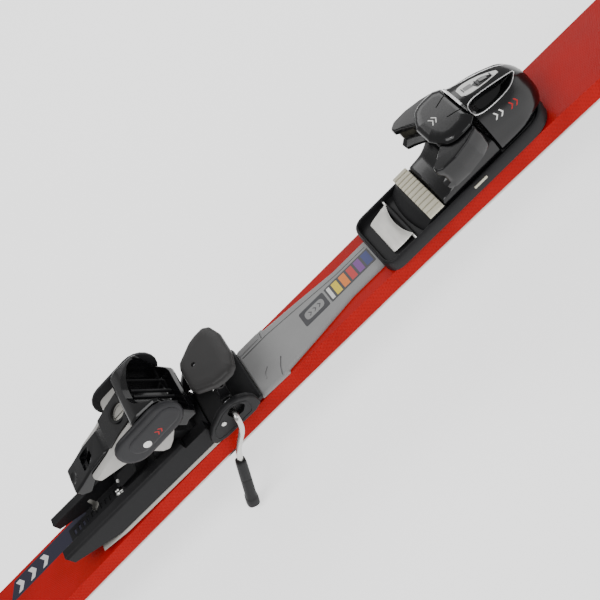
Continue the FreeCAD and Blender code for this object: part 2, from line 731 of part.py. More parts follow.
def make_track():
    wall = channel_half
    left = [(31, lifter_top), (25.5, track_rim), (wall + 0.7, track_rim), (wall, track_floor)]
    section = left + [(-as_size(y), z) for y, z in reversed(left)]
    blank = prism("track_blank", "YZ", section, track_rear, track_front)
    wedge_outline = [(-272, 10), (-340, 10), (-340, 36), (-325, 32), (-272, lifter_top)]
    wedge = prism("track_wedge", "XZ", wedge_outline, -40, 40)
    step = block("track_step", (-173, track_front + 1), (-40, 40), (track_low_rim, track_rim + 5))
    seats = screw_holes("track_seat", 17, 30, 4.6)
    node("heel_track", cut("heel_track", blank, wedge, step, seats))
    lifter = block("lifter_blank", (-300, -134), (-31.6, 31.6), (ski_thickness, lifter_top))
    foot = prism("lifter_cut", "XZ", [(-272, 19.2), (-272, 16), (-302, 16), (-302, 24)], -40, 40)
    bores = screw_holes("lifter_bore", 10, 16, 2)
    heads = screw_holes("lifter_seat", 16, 30, 4.2)
    node("heel_lifter", cut("heel_lifter", lifter, foot, bores, heads))
    strip = block("rack_blank", (-321, -205), (-12, 12), (track_floor, track_floor + 1))
    holes = []
    for tooth in range(17):
        for y in (-5.2, 5.2):
            holes.append(block("rack_hole", (-316 + tooth * 6, -313 + tooth * 6), (y - 3, y + 3),
                               (track_floor - 1, track_floor + 2)))
    well = [rod("rack_well", (-285, y, 20), (0, 0, 1), 4.6, 10) for y in (-11, 11)]
    node("heel_rack", cut("heel_rack", strip, fuse("rack_holes", *holes), *well))


SCREW_TILT = (-0.94, 0, 0.342)
SCREW_INWARD = (0.94, 0, -0.342)


def make_carriage():
    half = channel_half - 0.5
    low = track_floor + 1.5
    base = block("carriage_base", (-250, -158), (-half, half), (low, 35))
    ear_outline = [(-206, 34), (-160, 34), (-173.5, 56), (-190.5, 56)]
    ears = [prism("carriage_ear", "XZ", ear_outline, *span) for span in ((9, 14.3), (-14.3, -9))]
    knuckle = cut("carriage_knuckle", cross_rod("knuckle_rod", heel_axis_x, heel_axis_z, 14.3, 8.4),
                  cross_rod("knuckle_gap", heel_axis_x, heel_axis_z, 9, 12))
    pin_way = cross_rod("carriage_pin_way", heel_axis_x, heel_axis_z, 20, heel_pin_radius)
    screw_way = rod("carriage_screw_way", (-252, -7, 33), SCREW_INWARD, 2.9, 14)
    head_way = rod("carriage_head_way", (-248, -7, 31.6), SCREW_TILT, 5.4, 10)
    whole = fuse("carriage_whole", base, *ears, knuckle)
    node("heel_carriage", cut("heel_carriage", whole, pin_way, screw_way, head_way))
    node("heel_pivot_pin", cross_rod("heel_pivot_pin", heel_axis_x, heel_axis_z, 21.6, heel_pin_radius))
    tongue = [(-245, 35), (-212, 35), (-205, 52), (-209, 57), (-214, 54), (-224, 39), (-245, 38)]
    tongue_way = rod("tongue_way", (-242, -7, 29.4), SCREW_TILT, 5.6, 30)
    node("pressure_tongue", cut("pressure_tongue", prism("tongue_blank", "XZ", tongue, -7, 8), tongue_way))
    shank = rod("adjust_shank", (-251, -7, 32.7), SCREW_INWARD, 2.5, 11)
    head = rod("adjust_head", (-251, -7, 32.7), SCREW_TILT, 4.6, 3.4)
    cross = [block("adjust_slot_a", (-262, -252.9), (-7.6, -6.4), (29, 40)),
             block("adjust_slot_b", (-262, -252.9), (-10.5, -3.5), (33.1, 34.3))]
    node("adjust_screw", cut("adjust_screw", fuse("adjust_whole", shank, head), *cross))


# ---------------------------------------------------------------- the heel, in its own closed frame

SPRING_START = (9, 0, 15.6)
SPRING_WAY = (0.45, 0, 0.893)


def open_heel(label, piece):
    """Carry a piece from the heel's closed frame, about its pivot, to the open position."""
    turn = FreeCAD.Rotation(V(0, 1, 0), -heel_open.value)
    piece.Placement = FreeCAD.Placement(V(heel_axis_x.value, 0, heel_axis_z.value), turn)
    bind(piece, "Placement.Base.x", heel_axis_x)
    bind(piece, "Placement.Base.z", heel_axis_z)
    return node(label, piece)


def along(share):
    """A point on the axis of the heel's spring, in the closed frame."""
    return tuple(a + b * share for a, b in zip(SPRING_START, SPRING_WAY))


def make_shell():
    profile = [(26, -2), (29.8, 12), (27, 41), (12, 46), (-12, 51), (-36, 58.5), (-38.5, 50),
               (-19, 31), (-6.5, 13), (-7.5, 0), (-4, -6.4), (6, -6.4)]
    blank = prism("shell_blank", "XZ", profile, -shell_half, shell_half, [((2, 5, 6), 3), ((7,), 8)])
    fork = block("shell_fork", (-32, 20), (-channel_half, channel_half), (-20, 13))
    lever_room = block("shell_lever_room", (-50, -1.5), (-lever_half - 0.6, lever_half + 0.6), (27, 70))
    spring_room = rod("shell_spring_room", SPRING_START, SPRING_WAY, 8.6, 60)
    pivot = cross_rod("shell_pivot", 0, 0, 30, heel_pin_radius + 0.15)
    pin_way = cross_rod("shell_pin_way", lever_axis_x, lever_axis_z, 18.5, 2)
    open_heel("heel_shell", cut("heel_shell", blank, fork, lever_room, spring_room, pivot, pin_way))


def make_cup():
    outer = [(30.4, -8.4), (37, -8.4), (46, -13.5), (47.5, -10), (50, 6), (62, 29), (60.5, 33), (44, 44),
             (30.4, 46.5)]
    inner = [(34.6, -4.6), (70, -8.5), (70, 27), (48, 36), (34.6, 39)]
    blank = prism("cup_blank", "XZ", outer, -cup_half, cup_half, [((5, 6), 1.5)])
    room = prism("cup_room", "XZ", inner, 4 - cup_half, cup_half - 4)
    scallop = prism("cup_scallop", "XY", [(52, -22), (75, -27), (75, 27), (52, 22)], 24, 50)
    open_heel("heel_cup", cut("heel_cup", blank, room, scallop))


def bean(name, low, high, radius, half, front):
    """A slanted capsule outline on the heel's side; front trims its front end."""
    lean = V(-0.886, 0, 0.463)
    across = V(0.463, 0, 0.886)
    centre = V(27.5, 0, 28)
    spots = [centre - lean * front - across * radius, centre - lean * front + across * radius,
             centre + lean * half + across * radius, centre + lean * half - across * radius]
    return prism(name, "XZ", [(spot.x, spot.z) for spot in spots], low, high, [((0, 1, 2, 3), radius - 0.1)])


def make_heel_covers():
    plate = bean("cover_plate", cup_half + 0.2, 36, 13, 38, 38)
    spacer = bean("cover_spacer", shell_half, cup_half + 0.2, 8, 28, 0)
    trim = block("cover_trim", (30, 80), (20, cup_half + 0.2), (-20, 80))
    left = open_heel("heel_cover_left", fuse("heel_cover_left", plate, cut("cover_spacer_cut", spacer, trim)))
    node("heel_cover_right", mirrored("heel_cover_right", left))
    rivets = [rod("heel_rivet", (17.4, side * 36, 28), (0, side, 0), 4.5, 1.2) for side in SIDES]
    open_heel("heel_rivets", group("heel_rivets", *rivets))


def make_lever():
    profile = [(-3.5, 33.5), (-2.5, 43), (-10, 53), (-30, 61), (-58, 68), (-61, 60), (-57, 51),
               (-38, 51.5), (-16, 36), (-11, 33)]
    blank = prism("lever_blank", "XZ", profile, -lever_half, lever_half, [((4, 5, 6), 3), ((0, 9), 2)])
    slot = block("lever_slot", (-34, -22), (-4, 4), (30, 75))
    bore = cross_rod("lever_bore", lever_axis_x, lever_axis_z, 20, 2.15)
    open_heel("heel_lever", cut("heel_lever", blank, slot, bore))
    pin = cross_rod("lever_pin_rod", lever_axis_x, lever_axis_z, 18.4, 2)
    open_heel("lever_pin", group("lever_pin", pin))


def make_heel_inside():
    disc = rod("heel_piston_disc", along(0.4), SPRING_WAY, 8.3, 3)
    stem = rod("heel_piston_stem", along(0.4), SPRING_WAY, 4.6, 9)
    open_heel("heel_piston", fuse("heel_piston", disc, stem))
    spring = shaped("heel_coil", coil(along(5), SPRING_WAY, 6.6, 1.2, 14, 3))
    open_heel("heel_spring", group("heel_spring", spring))
    screw = rod("heel_screw_body", along(21.4), SPRING_WAY, 8.1, 7)
    slot = block("heel_screw_slot", (10, 40), (-0.9, 0.9), (39.2, 60))
    open_heel("heel_release_screw", cut("heel_release_screw", screw, slot))


def make_heel():
    make_track()
    make_carriage()
    make_shell()
    make_cup()
    make_heel_covers()
    make_lever()
    make_heel_inside()


# ---------------------------------------------------------------- build, check and write

def check_document():
    """Stop if an object failed or a sub-part's shape is empty or broken."""
    for item in doc.Objects:
        if "Invalid" in item.State or "Error" in item.State:
            raise RuntimeError("failed object: %s %s" % (item.Label, item.State))
    for piece in parts:
        if piece.Shape.isNull() or not piece.Shape.isValid() or not piece.Shape.Solids:
            raise RuntimeError("bad shape: " + piece.Label)


def write_parts():
    os.makedirs("parts", exist_ok=True)
    for piece in parts:
        piece.Shape.exportStep("parts/%s.step" % piece.Label)
        print("%-20s %d solids %10.1f mm3" % (piece.Label, len(piece.Shape.Solids), piece.Shape.Volume))


make_ski()
make_plate()
make_toe()
make_brake()
make_heel()
doc.recompute()
check_document()
write_parts()
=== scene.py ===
import json
import math

import bmesh
import bpy
from mathutils import Matrix, Vector
from mathutils.bvhtree import BVHTree

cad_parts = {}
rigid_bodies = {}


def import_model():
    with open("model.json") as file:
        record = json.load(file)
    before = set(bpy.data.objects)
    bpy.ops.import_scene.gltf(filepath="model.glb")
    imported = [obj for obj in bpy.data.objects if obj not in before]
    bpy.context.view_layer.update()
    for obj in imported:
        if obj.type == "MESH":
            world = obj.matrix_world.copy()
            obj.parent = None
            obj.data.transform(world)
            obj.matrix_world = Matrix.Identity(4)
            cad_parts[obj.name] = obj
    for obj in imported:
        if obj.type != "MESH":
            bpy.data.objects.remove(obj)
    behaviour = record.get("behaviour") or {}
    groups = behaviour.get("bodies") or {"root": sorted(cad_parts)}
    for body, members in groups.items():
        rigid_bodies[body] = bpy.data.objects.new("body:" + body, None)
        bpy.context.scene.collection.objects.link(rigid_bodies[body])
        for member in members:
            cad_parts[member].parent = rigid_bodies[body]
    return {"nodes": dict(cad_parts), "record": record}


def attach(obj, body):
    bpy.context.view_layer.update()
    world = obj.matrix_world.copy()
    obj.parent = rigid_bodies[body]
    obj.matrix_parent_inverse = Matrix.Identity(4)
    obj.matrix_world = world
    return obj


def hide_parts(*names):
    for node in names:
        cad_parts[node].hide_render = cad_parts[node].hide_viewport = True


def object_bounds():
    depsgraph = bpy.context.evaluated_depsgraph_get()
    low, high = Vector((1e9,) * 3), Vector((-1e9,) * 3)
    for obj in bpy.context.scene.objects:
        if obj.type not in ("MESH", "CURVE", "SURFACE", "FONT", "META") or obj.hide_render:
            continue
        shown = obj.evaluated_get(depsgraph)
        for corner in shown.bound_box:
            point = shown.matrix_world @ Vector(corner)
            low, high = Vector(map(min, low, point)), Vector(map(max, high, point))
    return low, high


# An alpine ski with its binding. The frame gives every moving body; the pieces below give the
# moulded, pressed and printed surfaces. Lengths are written in millimetres and scaled by MM.

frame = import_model()
cad_low, cad_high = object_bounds()
MM = 0.001
SIDES = ((-1, "near"), (1, "far"))
HANDS = ((1, "left"), (-1, "right"))
TINTS = ("window_white", "window_white", "print_red", "print_red")


# ---- materials ----

class Shader:
    """A node material written in a few lines: texture nodes feeding one Principled shader."""

    def __init__(self, name, colour, rough, metallic=0.0):
        self.material = bpy.data.materials.new(name)
        self.material.use_nodes = True
        self.tree = self.material.node_tree
        self.surface = self.tree.nodes["Principled BSDF"]
        self.set("Base Color", (*colour, 1))
        self.set("Roughness", rough)
        self.set("Metallic", metallic)
        self.place = self.add("ShaderNodeTexCoord").outputs["Object"]

    def add(self, kind, **settings):
        node = self.tree.nodes.new(kind)
        for key, value in settings.items():
            setattr(node, key, value)
        return node

    def link(self, source, target):
        self.tree.links.new(source, target)

    def maths(self, operation, first, second=0.0):
        node = self.add("ShaderNodeMath", operation=operation)
        for socket, value in zip(node.inputs, (first, second)):
            if isinstance(value, (int, float)):
                socket.default_value = value
            else:
                self.link(value, socket)
        return node.outputs[0]

    def axes(self):
        split = self.add("ShaderNodeSeparateXYZ")
        self.link(self.place, split.inputs[0])
        return split.outputs

    def between(self, value, low, high):
        """1 where value lies between low and high."""
        above = self.maths("GREATER_THAN", value, low)
        return self.maths("MULTIPLY", above, self.maths("LESS_THAN", value, high))

    def noise(self, scale, detail=3.0, stretch=(1, 1, 1)):
        mapping = self.add("ShaderNodeMapping")
        mapping.inputs["Scale"].default_value = stretch
        self.link(self.place, mapping.inputs["Vector"])
        node = self.add("ShaderNodeTexNoise")
        node.inputs["Scale"].default_value = scale
        node.inputs["Detail"].default_value = detail
        self.link(mapping.outputs[0], node.inputs["Vector"])
        return node.outputs["Fac"]

    def ramp(self, value, low, high, out_low, out_high):
        node = self.add("ShaderNodeMapRange")
        self.link(value, node.inputs["Value"])
        for name, number in zip(("From Min", "From Max", "To Min", "To Max"), (low, high, out_low, out_high)):
            node.inputs[name].default_value = number
        return node.outputs[0]

    def mix(self, share, first, second):
        node = self.add("ShaderNodeMix", data_type="RGBA")
        self.link(share, node.inputs["Factor"])
        for name, value in (("A", first), ("B", second)):
            socket = [s for s in node.inputs if s.name == name and s.type == "RGBA"][0]
            if isinstance(value, tuple):
                socket.default_value = (*value, 1)
            else:
                self.link(value, socket)
        return [s for s in node.outputs if s.type == "RGBA"][0]

    def colour(self, value):
        self.link(value, self.surface.inputs["Base Color"])

    def blend(self, value, low, high, first, second):
        """Colour the surface from first to second while value runs from low to high."""
        self.colour(self.mix(self.ramp(value, low, high, 0, 1), first, second))

    def set(self, name, value):
        self.surface.inputs[name].default_value = value

    def rough(self, value):
        self.link(value, self.surface.inputs["Roughness"])

    def bump(self, height, strength, distance):
        node = self.add("ShaderNodeBump")
        node.inputs["Strength"].default_value = strength
        node.inputs["Distance"].default_value = distance
        self.link(height, node.inputs["Height"])
        self.link(node.outputs[0], self.surface.inputs["Normal"])


def shade(colour, factor):
    return tuple(min(1.0, channel * factor) for channel in colour)


def moulded(name, colour, rough, wear=0.18):
    """Moulded plastic: a fine grain, slight mottling and a roughness that wanders."""
    shader = Shader(name, colour, rough)
    fine = shader.noise(1600, 2)
    broad = shader.noise(38, 4)
    shader.blend(broad, 0.35, 0.7, shade(colour, 1 - wear), shade(colour, 1 + wear))
    shader.rough(shader.ramp(broad, 0.3, 0.7, rough * 0.88, min(1, rough * 1.15)))
    shader.bump(fine, 0.5, 0.00006)
    shader.set("Specular IOR Level", 0.2)
    return shader.material


def lacquer(name, colour, rough, coat):
    """Polished plastic: a clear gloss with faint flow waves and a little dust."""
    shader = Shader(name, colour, rough)
    waves = shader.noise(26, 2)
    dust = shader.noise(900, 2)
    shader.blend(dust, 0.62, 0.8, colour, shade(colour, 2.2))
    shader.rough(shader.ramp(waves, 0.3, 0.7, rough * 0.8, rough * 1.4))
    shader.bump(waves, 0.25, 0.0004)
    shader.set("Specular IOR Level", 0.3)
    shader.set("Coat Weight", coat)
    shader.set("Coat Roughness", 0.08)
    return shader.material


def metal(name, colour, rough, stretch=(1, 1, 1), depth=0.00003):
    """Brushed or drawn metal: streaks along one axis."""
    shader = Shader(name, colour, rough, 1.0)
    streak = shader.noise(420, 3, stretch)
    broad = shader.noise(45, 3)
    shader.blend(broad, 0.3, 0.75, shade(colour, 0.86), shade(colour, 1.08))
    shader.rough(shader.ramp(streak, 0.3, 0.7, rough * 0.8, rough * 1.25))
    shader.bump(streak, 0.4, depth)
    return shader.material


RED = (0.40, 0.004, 0.003)


def ski_cap_material():
    """Satin red cap with a dimpled top whose dimples hold painted shade; towards the tail a dark band with
    pale angled strokes.
    """
    shader = Shader("ski_red", RED, 0.36)
    x, y, z = shader.axes()
    dots = shader.add("ShaderNodeTexVoronoi", feature="F1")
    dots.inputs["Scale"].default_value = 1000 / 2.1
    dots.inputs["Randomness"].default_value = 0.0
    skew = shader.add("ShaderNodeMapping")
    skew.inputs["Rotation"].default_value = (0, 0, math.radians(28))
    skew.inputs["Scale"].default_value = (1.0, 1.25, 0.0)
    shader.link(shader.place, skew.inputs["Vector"])
    shader.link(skew.outputs[0], dots.inputs["Vector"])
    dimple = shader.ramp(dots.outputs["Distance"], 0.15, 0.42, 0, 1)
    mottled = shader.noise(30, 4)
    base = shader.mix(shader.ramp(mottled, 0.3, 0.7, 0, 1), shade(RED, 0.9), shade(RED, 1.1))
    # painted shade: the colour darkens towards the middle of each dimple, on the red and in the dark band
    dimple_shade = shader.maths("MULTIPLY", shader.maths("SUBTRACT", 1.0, dimple), 0.30)
    base = shader.mix(dimple_shade, base, shade(RED, 0.55))
    slant = shader.maths("ADD", x, shader.maths("MULTIPLY", shader.maths("SUBTRACT", y, 0.0215), -0.6))
    band = shader.maths("MULTIPLY", shader.between(slant, -0.416, -0.28), shader.between(y, 0.0125, 0.0318))
    navy = shader.mix(dimple_shade, (0.030, 0.030, 0.048), (0.008, 0.008, 0.012))
    printed = shader.mix(band, base, navy)
    middle = shader.maths("ABSOLUTE", shader.maths("SUBTRACT", y, 0.0222))
    arrow = shader.maths("ADD", x, shader.maths("MULTIPLY", middle, 0.75))
    for start in (-0.404, -0.386, -0.368):
        stroke = shader.maths("MULTIPLY", shader.between(arrow, start, start + 0.006),
            shader.between(middle, -1.0, 0.0064))
        printed = shader.mix(stroke, printed, (0.62, 0.62, 0.62))
    shader.colour(printed)
    shader.rough(shader.ramp(mottled, 0.3, 0.7, 0.30, 0.42))
    shader.bump(dimple, 0.35, 0.0002)
    shader.set("Specular IOR Level", 0.15)
    return shader.material


def wood_material():
    shader = Shader("core_wood", (0.60, 0.45, 0.28), 0.7)
    rings = shader.noise(60, 5, (0.05, 1, 1))
    shader.blend(rings, 0.35, 0.65, (0.50, 0.35, 0.20), (0.68, 0.52, 0.34))
    shader.bump(rings, 0.3, 0.0003)
    return shader.material


MATERIALS = {"cap_red": ski_cap_material(), "core_wood": wood_material()}
for make, looks in ((moulded, (("base_black", (0.020, 0.020, 0.024), 0.45), ("plate_grey",
        (0.27, 0.27, 0.27), 0.46, 0.05), ("label_dark", (0.075, 0.075, 0.080), 0.5), ("charcoal",
        (0.011, 0.011, 0.012), 0.46), ("cover_grey", (0.018, 0.018, 0.020), 0.40), ("pad_grey",
        (0.030, 0.029, 0.029), 0.40, 0.06), ("heel_silver", (0.44, 0.43, 0.41), 0.33, 0.05), ("lifter_grey",
        (0.40, 0.39, 0.36), 0.45, 0.08), ("afd_beige", (0.56, 0.53, 0.42), 0.42, 0.07), ("window_white",
        (0.78, 0.78, 0.76), 0.30, 0.03), ("rubber_black", (0.013, 0.013, 0.014), 0.55), ("print_red",
        (0.42, 0.012, 0.012), 0.42, 0.06))), (lacquer, (("gloss_black", (0.0035, 0.0035, 0.004), 0.17,
        0.15),)), (metal, (("edge_steel", (0.50, 0.50, 0.48), 0.34, (0.04, 1, 1)), ("steel",
        (0.62, 0.62, 0.60), 0.26, (1, 1, 0.1)), ("flap_steel", (0.62, 0.61, 0.58), 0.38, (1, 0.06, 1),
        0.00005), ("spring_steel", (0.25, 0.25, 0.26), 0.35), ("silver_line", (0.70, 0.70, 0.70), 0.28)))):
    for look in looks:
        MATERIALS[look[0]] = make(*look)


# ---- mesh tools ----

def placed(name, data):
    """A new object in the scene."""
    thing = bpy.data.objects.new(name, data)
    bpy.context.scene.collection.objects.link(thing)
    return thing


def finish(name, bm, material, body, replaced=(), bevel=0.0, segments=2, angle=38):
    """Turn a bmesh in millimetres into a smooth piece that rides on a body."""
    bmesh.ops.remove_doubles(bm, verts=bm.verts, dist=0.001)
    bmesh.ops.recalc_face_normals(bm, faces=bm.faces)
    bm.transform(Matrix.Scale(MM, 4))
    mesh = bpy.data.meshes.new(name)
    bm.to_mesh(mesh)
    bm.free()
    for face in mesh.polygons:
        face.use_smooth = True
    mesh.materials.append(MATERIALS[material])
    piece = placed(name, mesh)
    if bevel:
        round_edges(piece, bevel, segments, angle)
    if body:
        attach(piece, body)
        if replaced:
            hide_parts(*replaced)
    return piece


def soften(points, radius, steps=5):
    """Round the corners of a closed outline; radius is one number or one for each corner."""
    count = len(points)
    radii = radius if isinstance(radius, (list, tuple)) else [radius] * count
    outline = []
    for i, corner in enumerate(points):
        corner = Vector(corner)
        before = Vector(points[i - 1]) - corner
        after = Vector(points[(i + 1) % count]) - corner
        half = before.angle(after) / 2
        reach = min(radii[i] / math.tan(half), 0.48 * before.length, 0.48 * after.length)
        if reach < 0.05:
            outline.append(corner)
            continue
        start, end = corner + before.normalized() * reach, corner + after.normalized() * reach
        for step in range(steps + 1):
            share = step / steps
            first = start.lerp(corner, share)
            outline.append(first.lerp(corner.lerp(end, share), share))
    return outline


def box(x0, y0, x1, y1):
    return [(x0, y0), (x1, y0), (x1, y1), (x0, y1)]


def at(x, y, z):
    return Vector((x, y, z))


LAY = {
    "XY": lambda a, b, c: at(a, b, c),
    "XZ": lambda a, b, c: at(a, c, b),
    "YZ": lambda a, b, c: at(c, a, b),
}


def slab_mesh(outline, low, high, plane="XY"):
    """A closed prism of an outline; the third axis runs from low to high."""
    bm = bmesh.new()
    lay = LAY[plane]
    floor = [bm.verts.new(lay(a, b, low)) for a, b in outline]
    roof = [bm.verts.new(lay(a, b, high)) for a, b in outline]
    bm.faces.new(floor)
    bm.faces.new(roof)
    for i in range(len(outline)):
        j = (i + 1) % len(outline)
        bm.faces.new((floor[i], floor[j], roof[j], roof[i]))
    return bm


def block(outline, radius, steps, low, high, plane="XY"):
    """A slab whose outline has rounded corners."""
    return slab_mesh(soften(outline, radius, steps), low, high, plane)


def ring_mesh(rings, capped=True):
    """A skin through rings of equally many points."""
    bm = bmesh.new()
    loops = [[bm.verts.new(point) for point in ring] for ring in rings]
    count = len(loops[0])
    for near, far in zip(loops, loops[1:]):
        for i in range(count):
            j = (i + 1) % count
            bm.faces.new((near[i], near[j], far[j], far[i]))
    if capped:
        bm.faces.new(loops[0])
        bm.faces.new(loops[-1])
    return bm


def circle(centre, side, other, radius, count):
    """Points around a centre in the plane of two directions."""
    return [centre + (side * math.cos(a) + other * math.sin(a)) * radius for a in (2 * math.pi * k / count
        for k in range(count))]


def tube_mesh(path, radius, sides=10, closed=False):
    """A round tube along points; the radius is one number or a function of the share."""
    count = len(path)
    rings = []
    side = None
    for i, point in enumerate(path):
        before = path[i - 1] if (closed or i) else point
        after = path[(i + 1) % count] if (closed or i < count - 1) else point
        along = (after - before).normalized()
        if side is None:
            side = along.orthogonal().normalized()
        side = (side - along * side.dot(along)).normalized()
        other = along.cross(side)
        size = radius(i / (count - 1)) if callable(radius) else radius
        rings.append(circle(point, side, other, size, sides))
    if closed:
        return ring_mesh(rings + rings[:1], False)
    return ring_mesh(rings)


def rod(start, end, radius, sides):
    """A straight round bar between two points."""
    return tube_mesh([Vector(start), Vector(end)], radius, sides)


def joined(*meshes):
    """Several bmeshes in one."""
    whole = bmesh.new()
    for part in meshes:
        step = bpy.data.meshes.new("step")
        part.to_mesh(step)
        part.free()
        whole.from_mesh(step)
        bpy.data.meshes.remove(step)
    return whole


def flipped(bm):
    """Mirror a bmesh to the other side of the ski."""
    bmesh.ops.scale(bm, vec=(1, -1, 1), verts=bm.verts)
    bmesh.ops.reverse_faces(bm, faces=bm.faces)
    return bm


def on_side(bm, side, drawn=1):
    """A bmesh drawn on one side of the ski, mirrored when it is wanted on the other."""
    return bm if side == drawn else flipped(bm)


def carve(piece, *cutters):
    """Subtract cutter meshes from a piece and drop the cutters."""
    for number, cutter in enumerate(cutters):
        tool = finish("cutter_%d" % number, cutter, "charcoal", None)
        modifier = piece.modifiers.new("cut", "BOOLEAN")
        modifier.operation = "DIFFERENCE"
        modifier.solver = "EXACT"
        modifier.object = tool
        bake(piece)
        bpy.data.objects.remove(tool)


def bake(piece):
    """Apply a piece's modifiers to its mesh."""
    bpy.context.view_layer.update()
    graph = bpy.context.evaluated_depsgraph_get()
    mesh = bpy.data.meshes.new_from_object(piece.evaluated_get(graph))
    piece.modifiers.clear()
    piece.data = mesh


def round_edges(piece, width, segments=3, angle=35):
    modifier = piece.modifiers.new("rounded_edges", "BEVEL")
    modifier.width = width * MM
    modifier.segments = segments
    modifier.limit_method = "ANGLE"
    modifier.angle_limit = math.radians(angle)
    modifier.harden_normals = True


def slice_off(bm, point, normal):
    """Cut a bmesh with a plane, drop the side the normal points to and close the cut."""
    geometry = bm.verts[:] + bm.edges[:] + bm.faces[:]
    cut = bmesh.ops.bisect_plane(bm, geom=geometry, plane_co=Vector(point), plane_no=Vector(normal),
        clear_outer=True)
    rim = [item for item in cut["geom_cut"] if isinstance(item, bmesh.types.BMEdge)]
    bmesh.ops.holes_fill(bm, edges=rim, sides=0)
    return bm


# ---- carried-over CAD nodes ----

SLOT_OF = {entry["node"]: entry["material_slot"] for entry in frame["record"]["subparts"]}
for node_name, node_object in frame["nodes"].items():
    node_object.data.materials.clear()
    node_object.data.materials.append(MATERIALS[SLOT_OF[node_name]])


# ---- stage, light and camera ----

AIM = at(-15, 24.5, 15) * MM
AZIMUTH, ELEVATION, ROLL = math.radians(11.5), math.radians(45), math.radians(52.9)
DISTANCE = 945 * MM
LENS = 62.4


def make_camera():
    away = Vector((math.sin(AZIMUTH) * math.cos(ELEVATION), -math.cos(AZIMUTH) * math.cos(ELEVATION),
        math.sin(ELEVATION)))
    camera = placed("camera", bpy.data.cameras.new("camera"))
    upright = away.to_track_quat("Z", "Y").to_matrix().to_4x4()
    camera.matrix_world = Matrix.Translation(AIM + away * DISTANCE) @ upright @ Matrix.Rotation(-ROLL, 4, "Z")
    camera.data.lens = LENS
    camera.data.sensor_width = 36
    camera.data.clip_end = 20
    bpy.context.scene.camera = camera


def area_light(name, place, size, power):
    """A soft box that faces the middle of the ski."""
    light = placed(name, bpy.data.lights.new(name, "AREA"))
    light.data.shape = "RECTANGLE"
    light.data.size, light.data.size_y = size
    light.data.energy = power
    light.location = place
    light.rotation_euler = (-Vector(place)).to_track_quat("-Z", "Y").to_euler()


def floor_material():
    shader = Shader("studio_floor", (0.90, 0.90, 0.90), 0.9)
    speckle = shader.noise(6, 3)
    shader.colour(shader.mix(speckle, (0.90, 0.90, 0.90), (0.93, 0.93, 0.93)))
    shader.set("Emission Color", (1, 1, 1, 1))
    shader.set("Emission Strength", 1.1)
    return shader.material


def make_stage():
    low = cad_low.z - 0.002
    mesh = bpy.data.meshes.new("floor")
    mesh.from_pydata([(x, y, low) for x, y in box(-4, -4, 4, 4)], [], [(0, 1, 2, 3)])
    mesh.materials.append(floor_material())
    placed("floor", mesh)
    world = bpy.data.worlds.new("studio")
    world.use_nodes = True
    sky = world.node_tree.nodes["Background"]
    sky.inputs["Color"].default_value = (1, 1, 1, 1)
    sky.inputs["Strength"].default_value = 0.55
    bpy.context.scene.world = world
    area_light("key", (-0.6, -0.5, 1.6), (1.2, 0.8), 14)
    area_light("rim", (0.3, 1.2, 0.9), (1.6, 0.5), 9)
    area_light("side", (0.9, -1.3, 0.7), (0.9, 0.5), 5)


make_camera()
make_stage()


# ---- curves and surfaces ----

def catmull(points, steps=4, closed=True):
    """A smooth curve through points."""
    points = [Vector(p) for p in points]
    count = len(points)
    curve = []
    for i in range(count if closed else count - 1):
        near = (i - 1, i, i + 1, i + 2)
        a, b, c, d = (points[k % count if closed else min(max(k, 0), count - 1)] for k in near)
        for step in range(steps):
            t = step / steps
            curve.append(0.5 * (2 * b + (c - a) * t + (2 * a - 5 * b + 4 * c - d) * t * t
                                + (3 * b - a - 3 * c + d) * t * t * t))
    if not closed:
        curve.append(points[-1])
    return curve


def both_ways(half):
    """Close a half outline given as (x, half width) with its mirror image."""
    return [(x, y) for x, y in half] + [(x, -y) for x, y in reversed(half)]


def rounded_box(low, high, radii, inset=0.0, steps=6):
    """Plan outline of a box with its own rear and front corner radii, pulled in by inset."""
    (x0, y0), (x1, y1) = low, high
    rear, front = (max(0.6, r - inset) for r in radii)
    return soften(box(x0 + inset, y0 + inset, x1 - inset, y1 - inset), [rear, front, front, rear], steps)


def at_height(outline, z):
    return [at(p[0], p[1], z) for p in outline]


def rivet_mesh(place, direction, radius, height):
    """A domed rivet or screw head standing on a surface."""
    direction = Vector(direction).normalized()
    side = direction.orthogonal().normalized()
    other = direction.cross(side)
    rings = []
    for width, lift in ((1, 0), (1, 0.45), (0.93, 0.72), (0.75, 0.9), (0.4, 1.0)):
        rings.append(circle(Vector(place) + direction * height * lift, side, other, radius * width, 20))
    return ring_mesh(rings)


def cross_head(name, place, direction, radius, height, body, arms=2):
    """A screw head with a cross recess, or a single slot when arms is 1."""
    direction = Vector(direction).normalized()
    side = direction.orthogonal().normalized()
    head = finish(name, rivet_mesh(place, direction, radius, height), "steel", body)
    tools = []
    for turn in range(arms):
        way = side if turn == 0 else direction.cross(side)
        across = direction.cross(way)
        centre = Vector(place) + direction * height * 0.75
        corners = [centre + way * (a * radius * 0.72) + across * (b * radius * 0.13)
            for a, b in box(-1, -1, 1, 1)]
        tools.append(ring_mesh([[c - direction * height * 0.5 for c in corners], [c + direction * height
            for c in corners]]))
    carve(head, *tools)


# ---- toe piece ----

TRAY_LOW, TRAY_HIGH, TRAY_RADII = (63.5, -35), (255, 35), (15, 29)


def make_toe_tray():
    levels = ((0, 15.3), (0, 19.5), (0.5, 23), (1.2, 25.6), (2.1, 26.7), (3.1, 27.0), (3.9, 26.6),
        (4.2, 25.4), (4.3, 22.5), (4.8, 21.0))
    rings = [at_height(rounded_box(TRAY_LOW, TRAY_HIGH, TRAY_RADII, inset), z) for inset, z in levels]
    tray = finish("toe_tray_skin", ring_mesh(rings), "charcoal", "toe", ["toe_tray"])
    tunnel = slab_mesh(box(50, -19.8, 260, 19.8), 10, 19.2)
    carve(tray, tunnel)
    for side, mark in SIDES:
        trim = block(box(164, 21.7, 178, 24.3), 0.5, 5, side * 34.0, side * 34.9, "XZ")
        finish("tray_clip_" + mark, trim, "afd_beige", "toe", ["tray_clips"], 0.2)


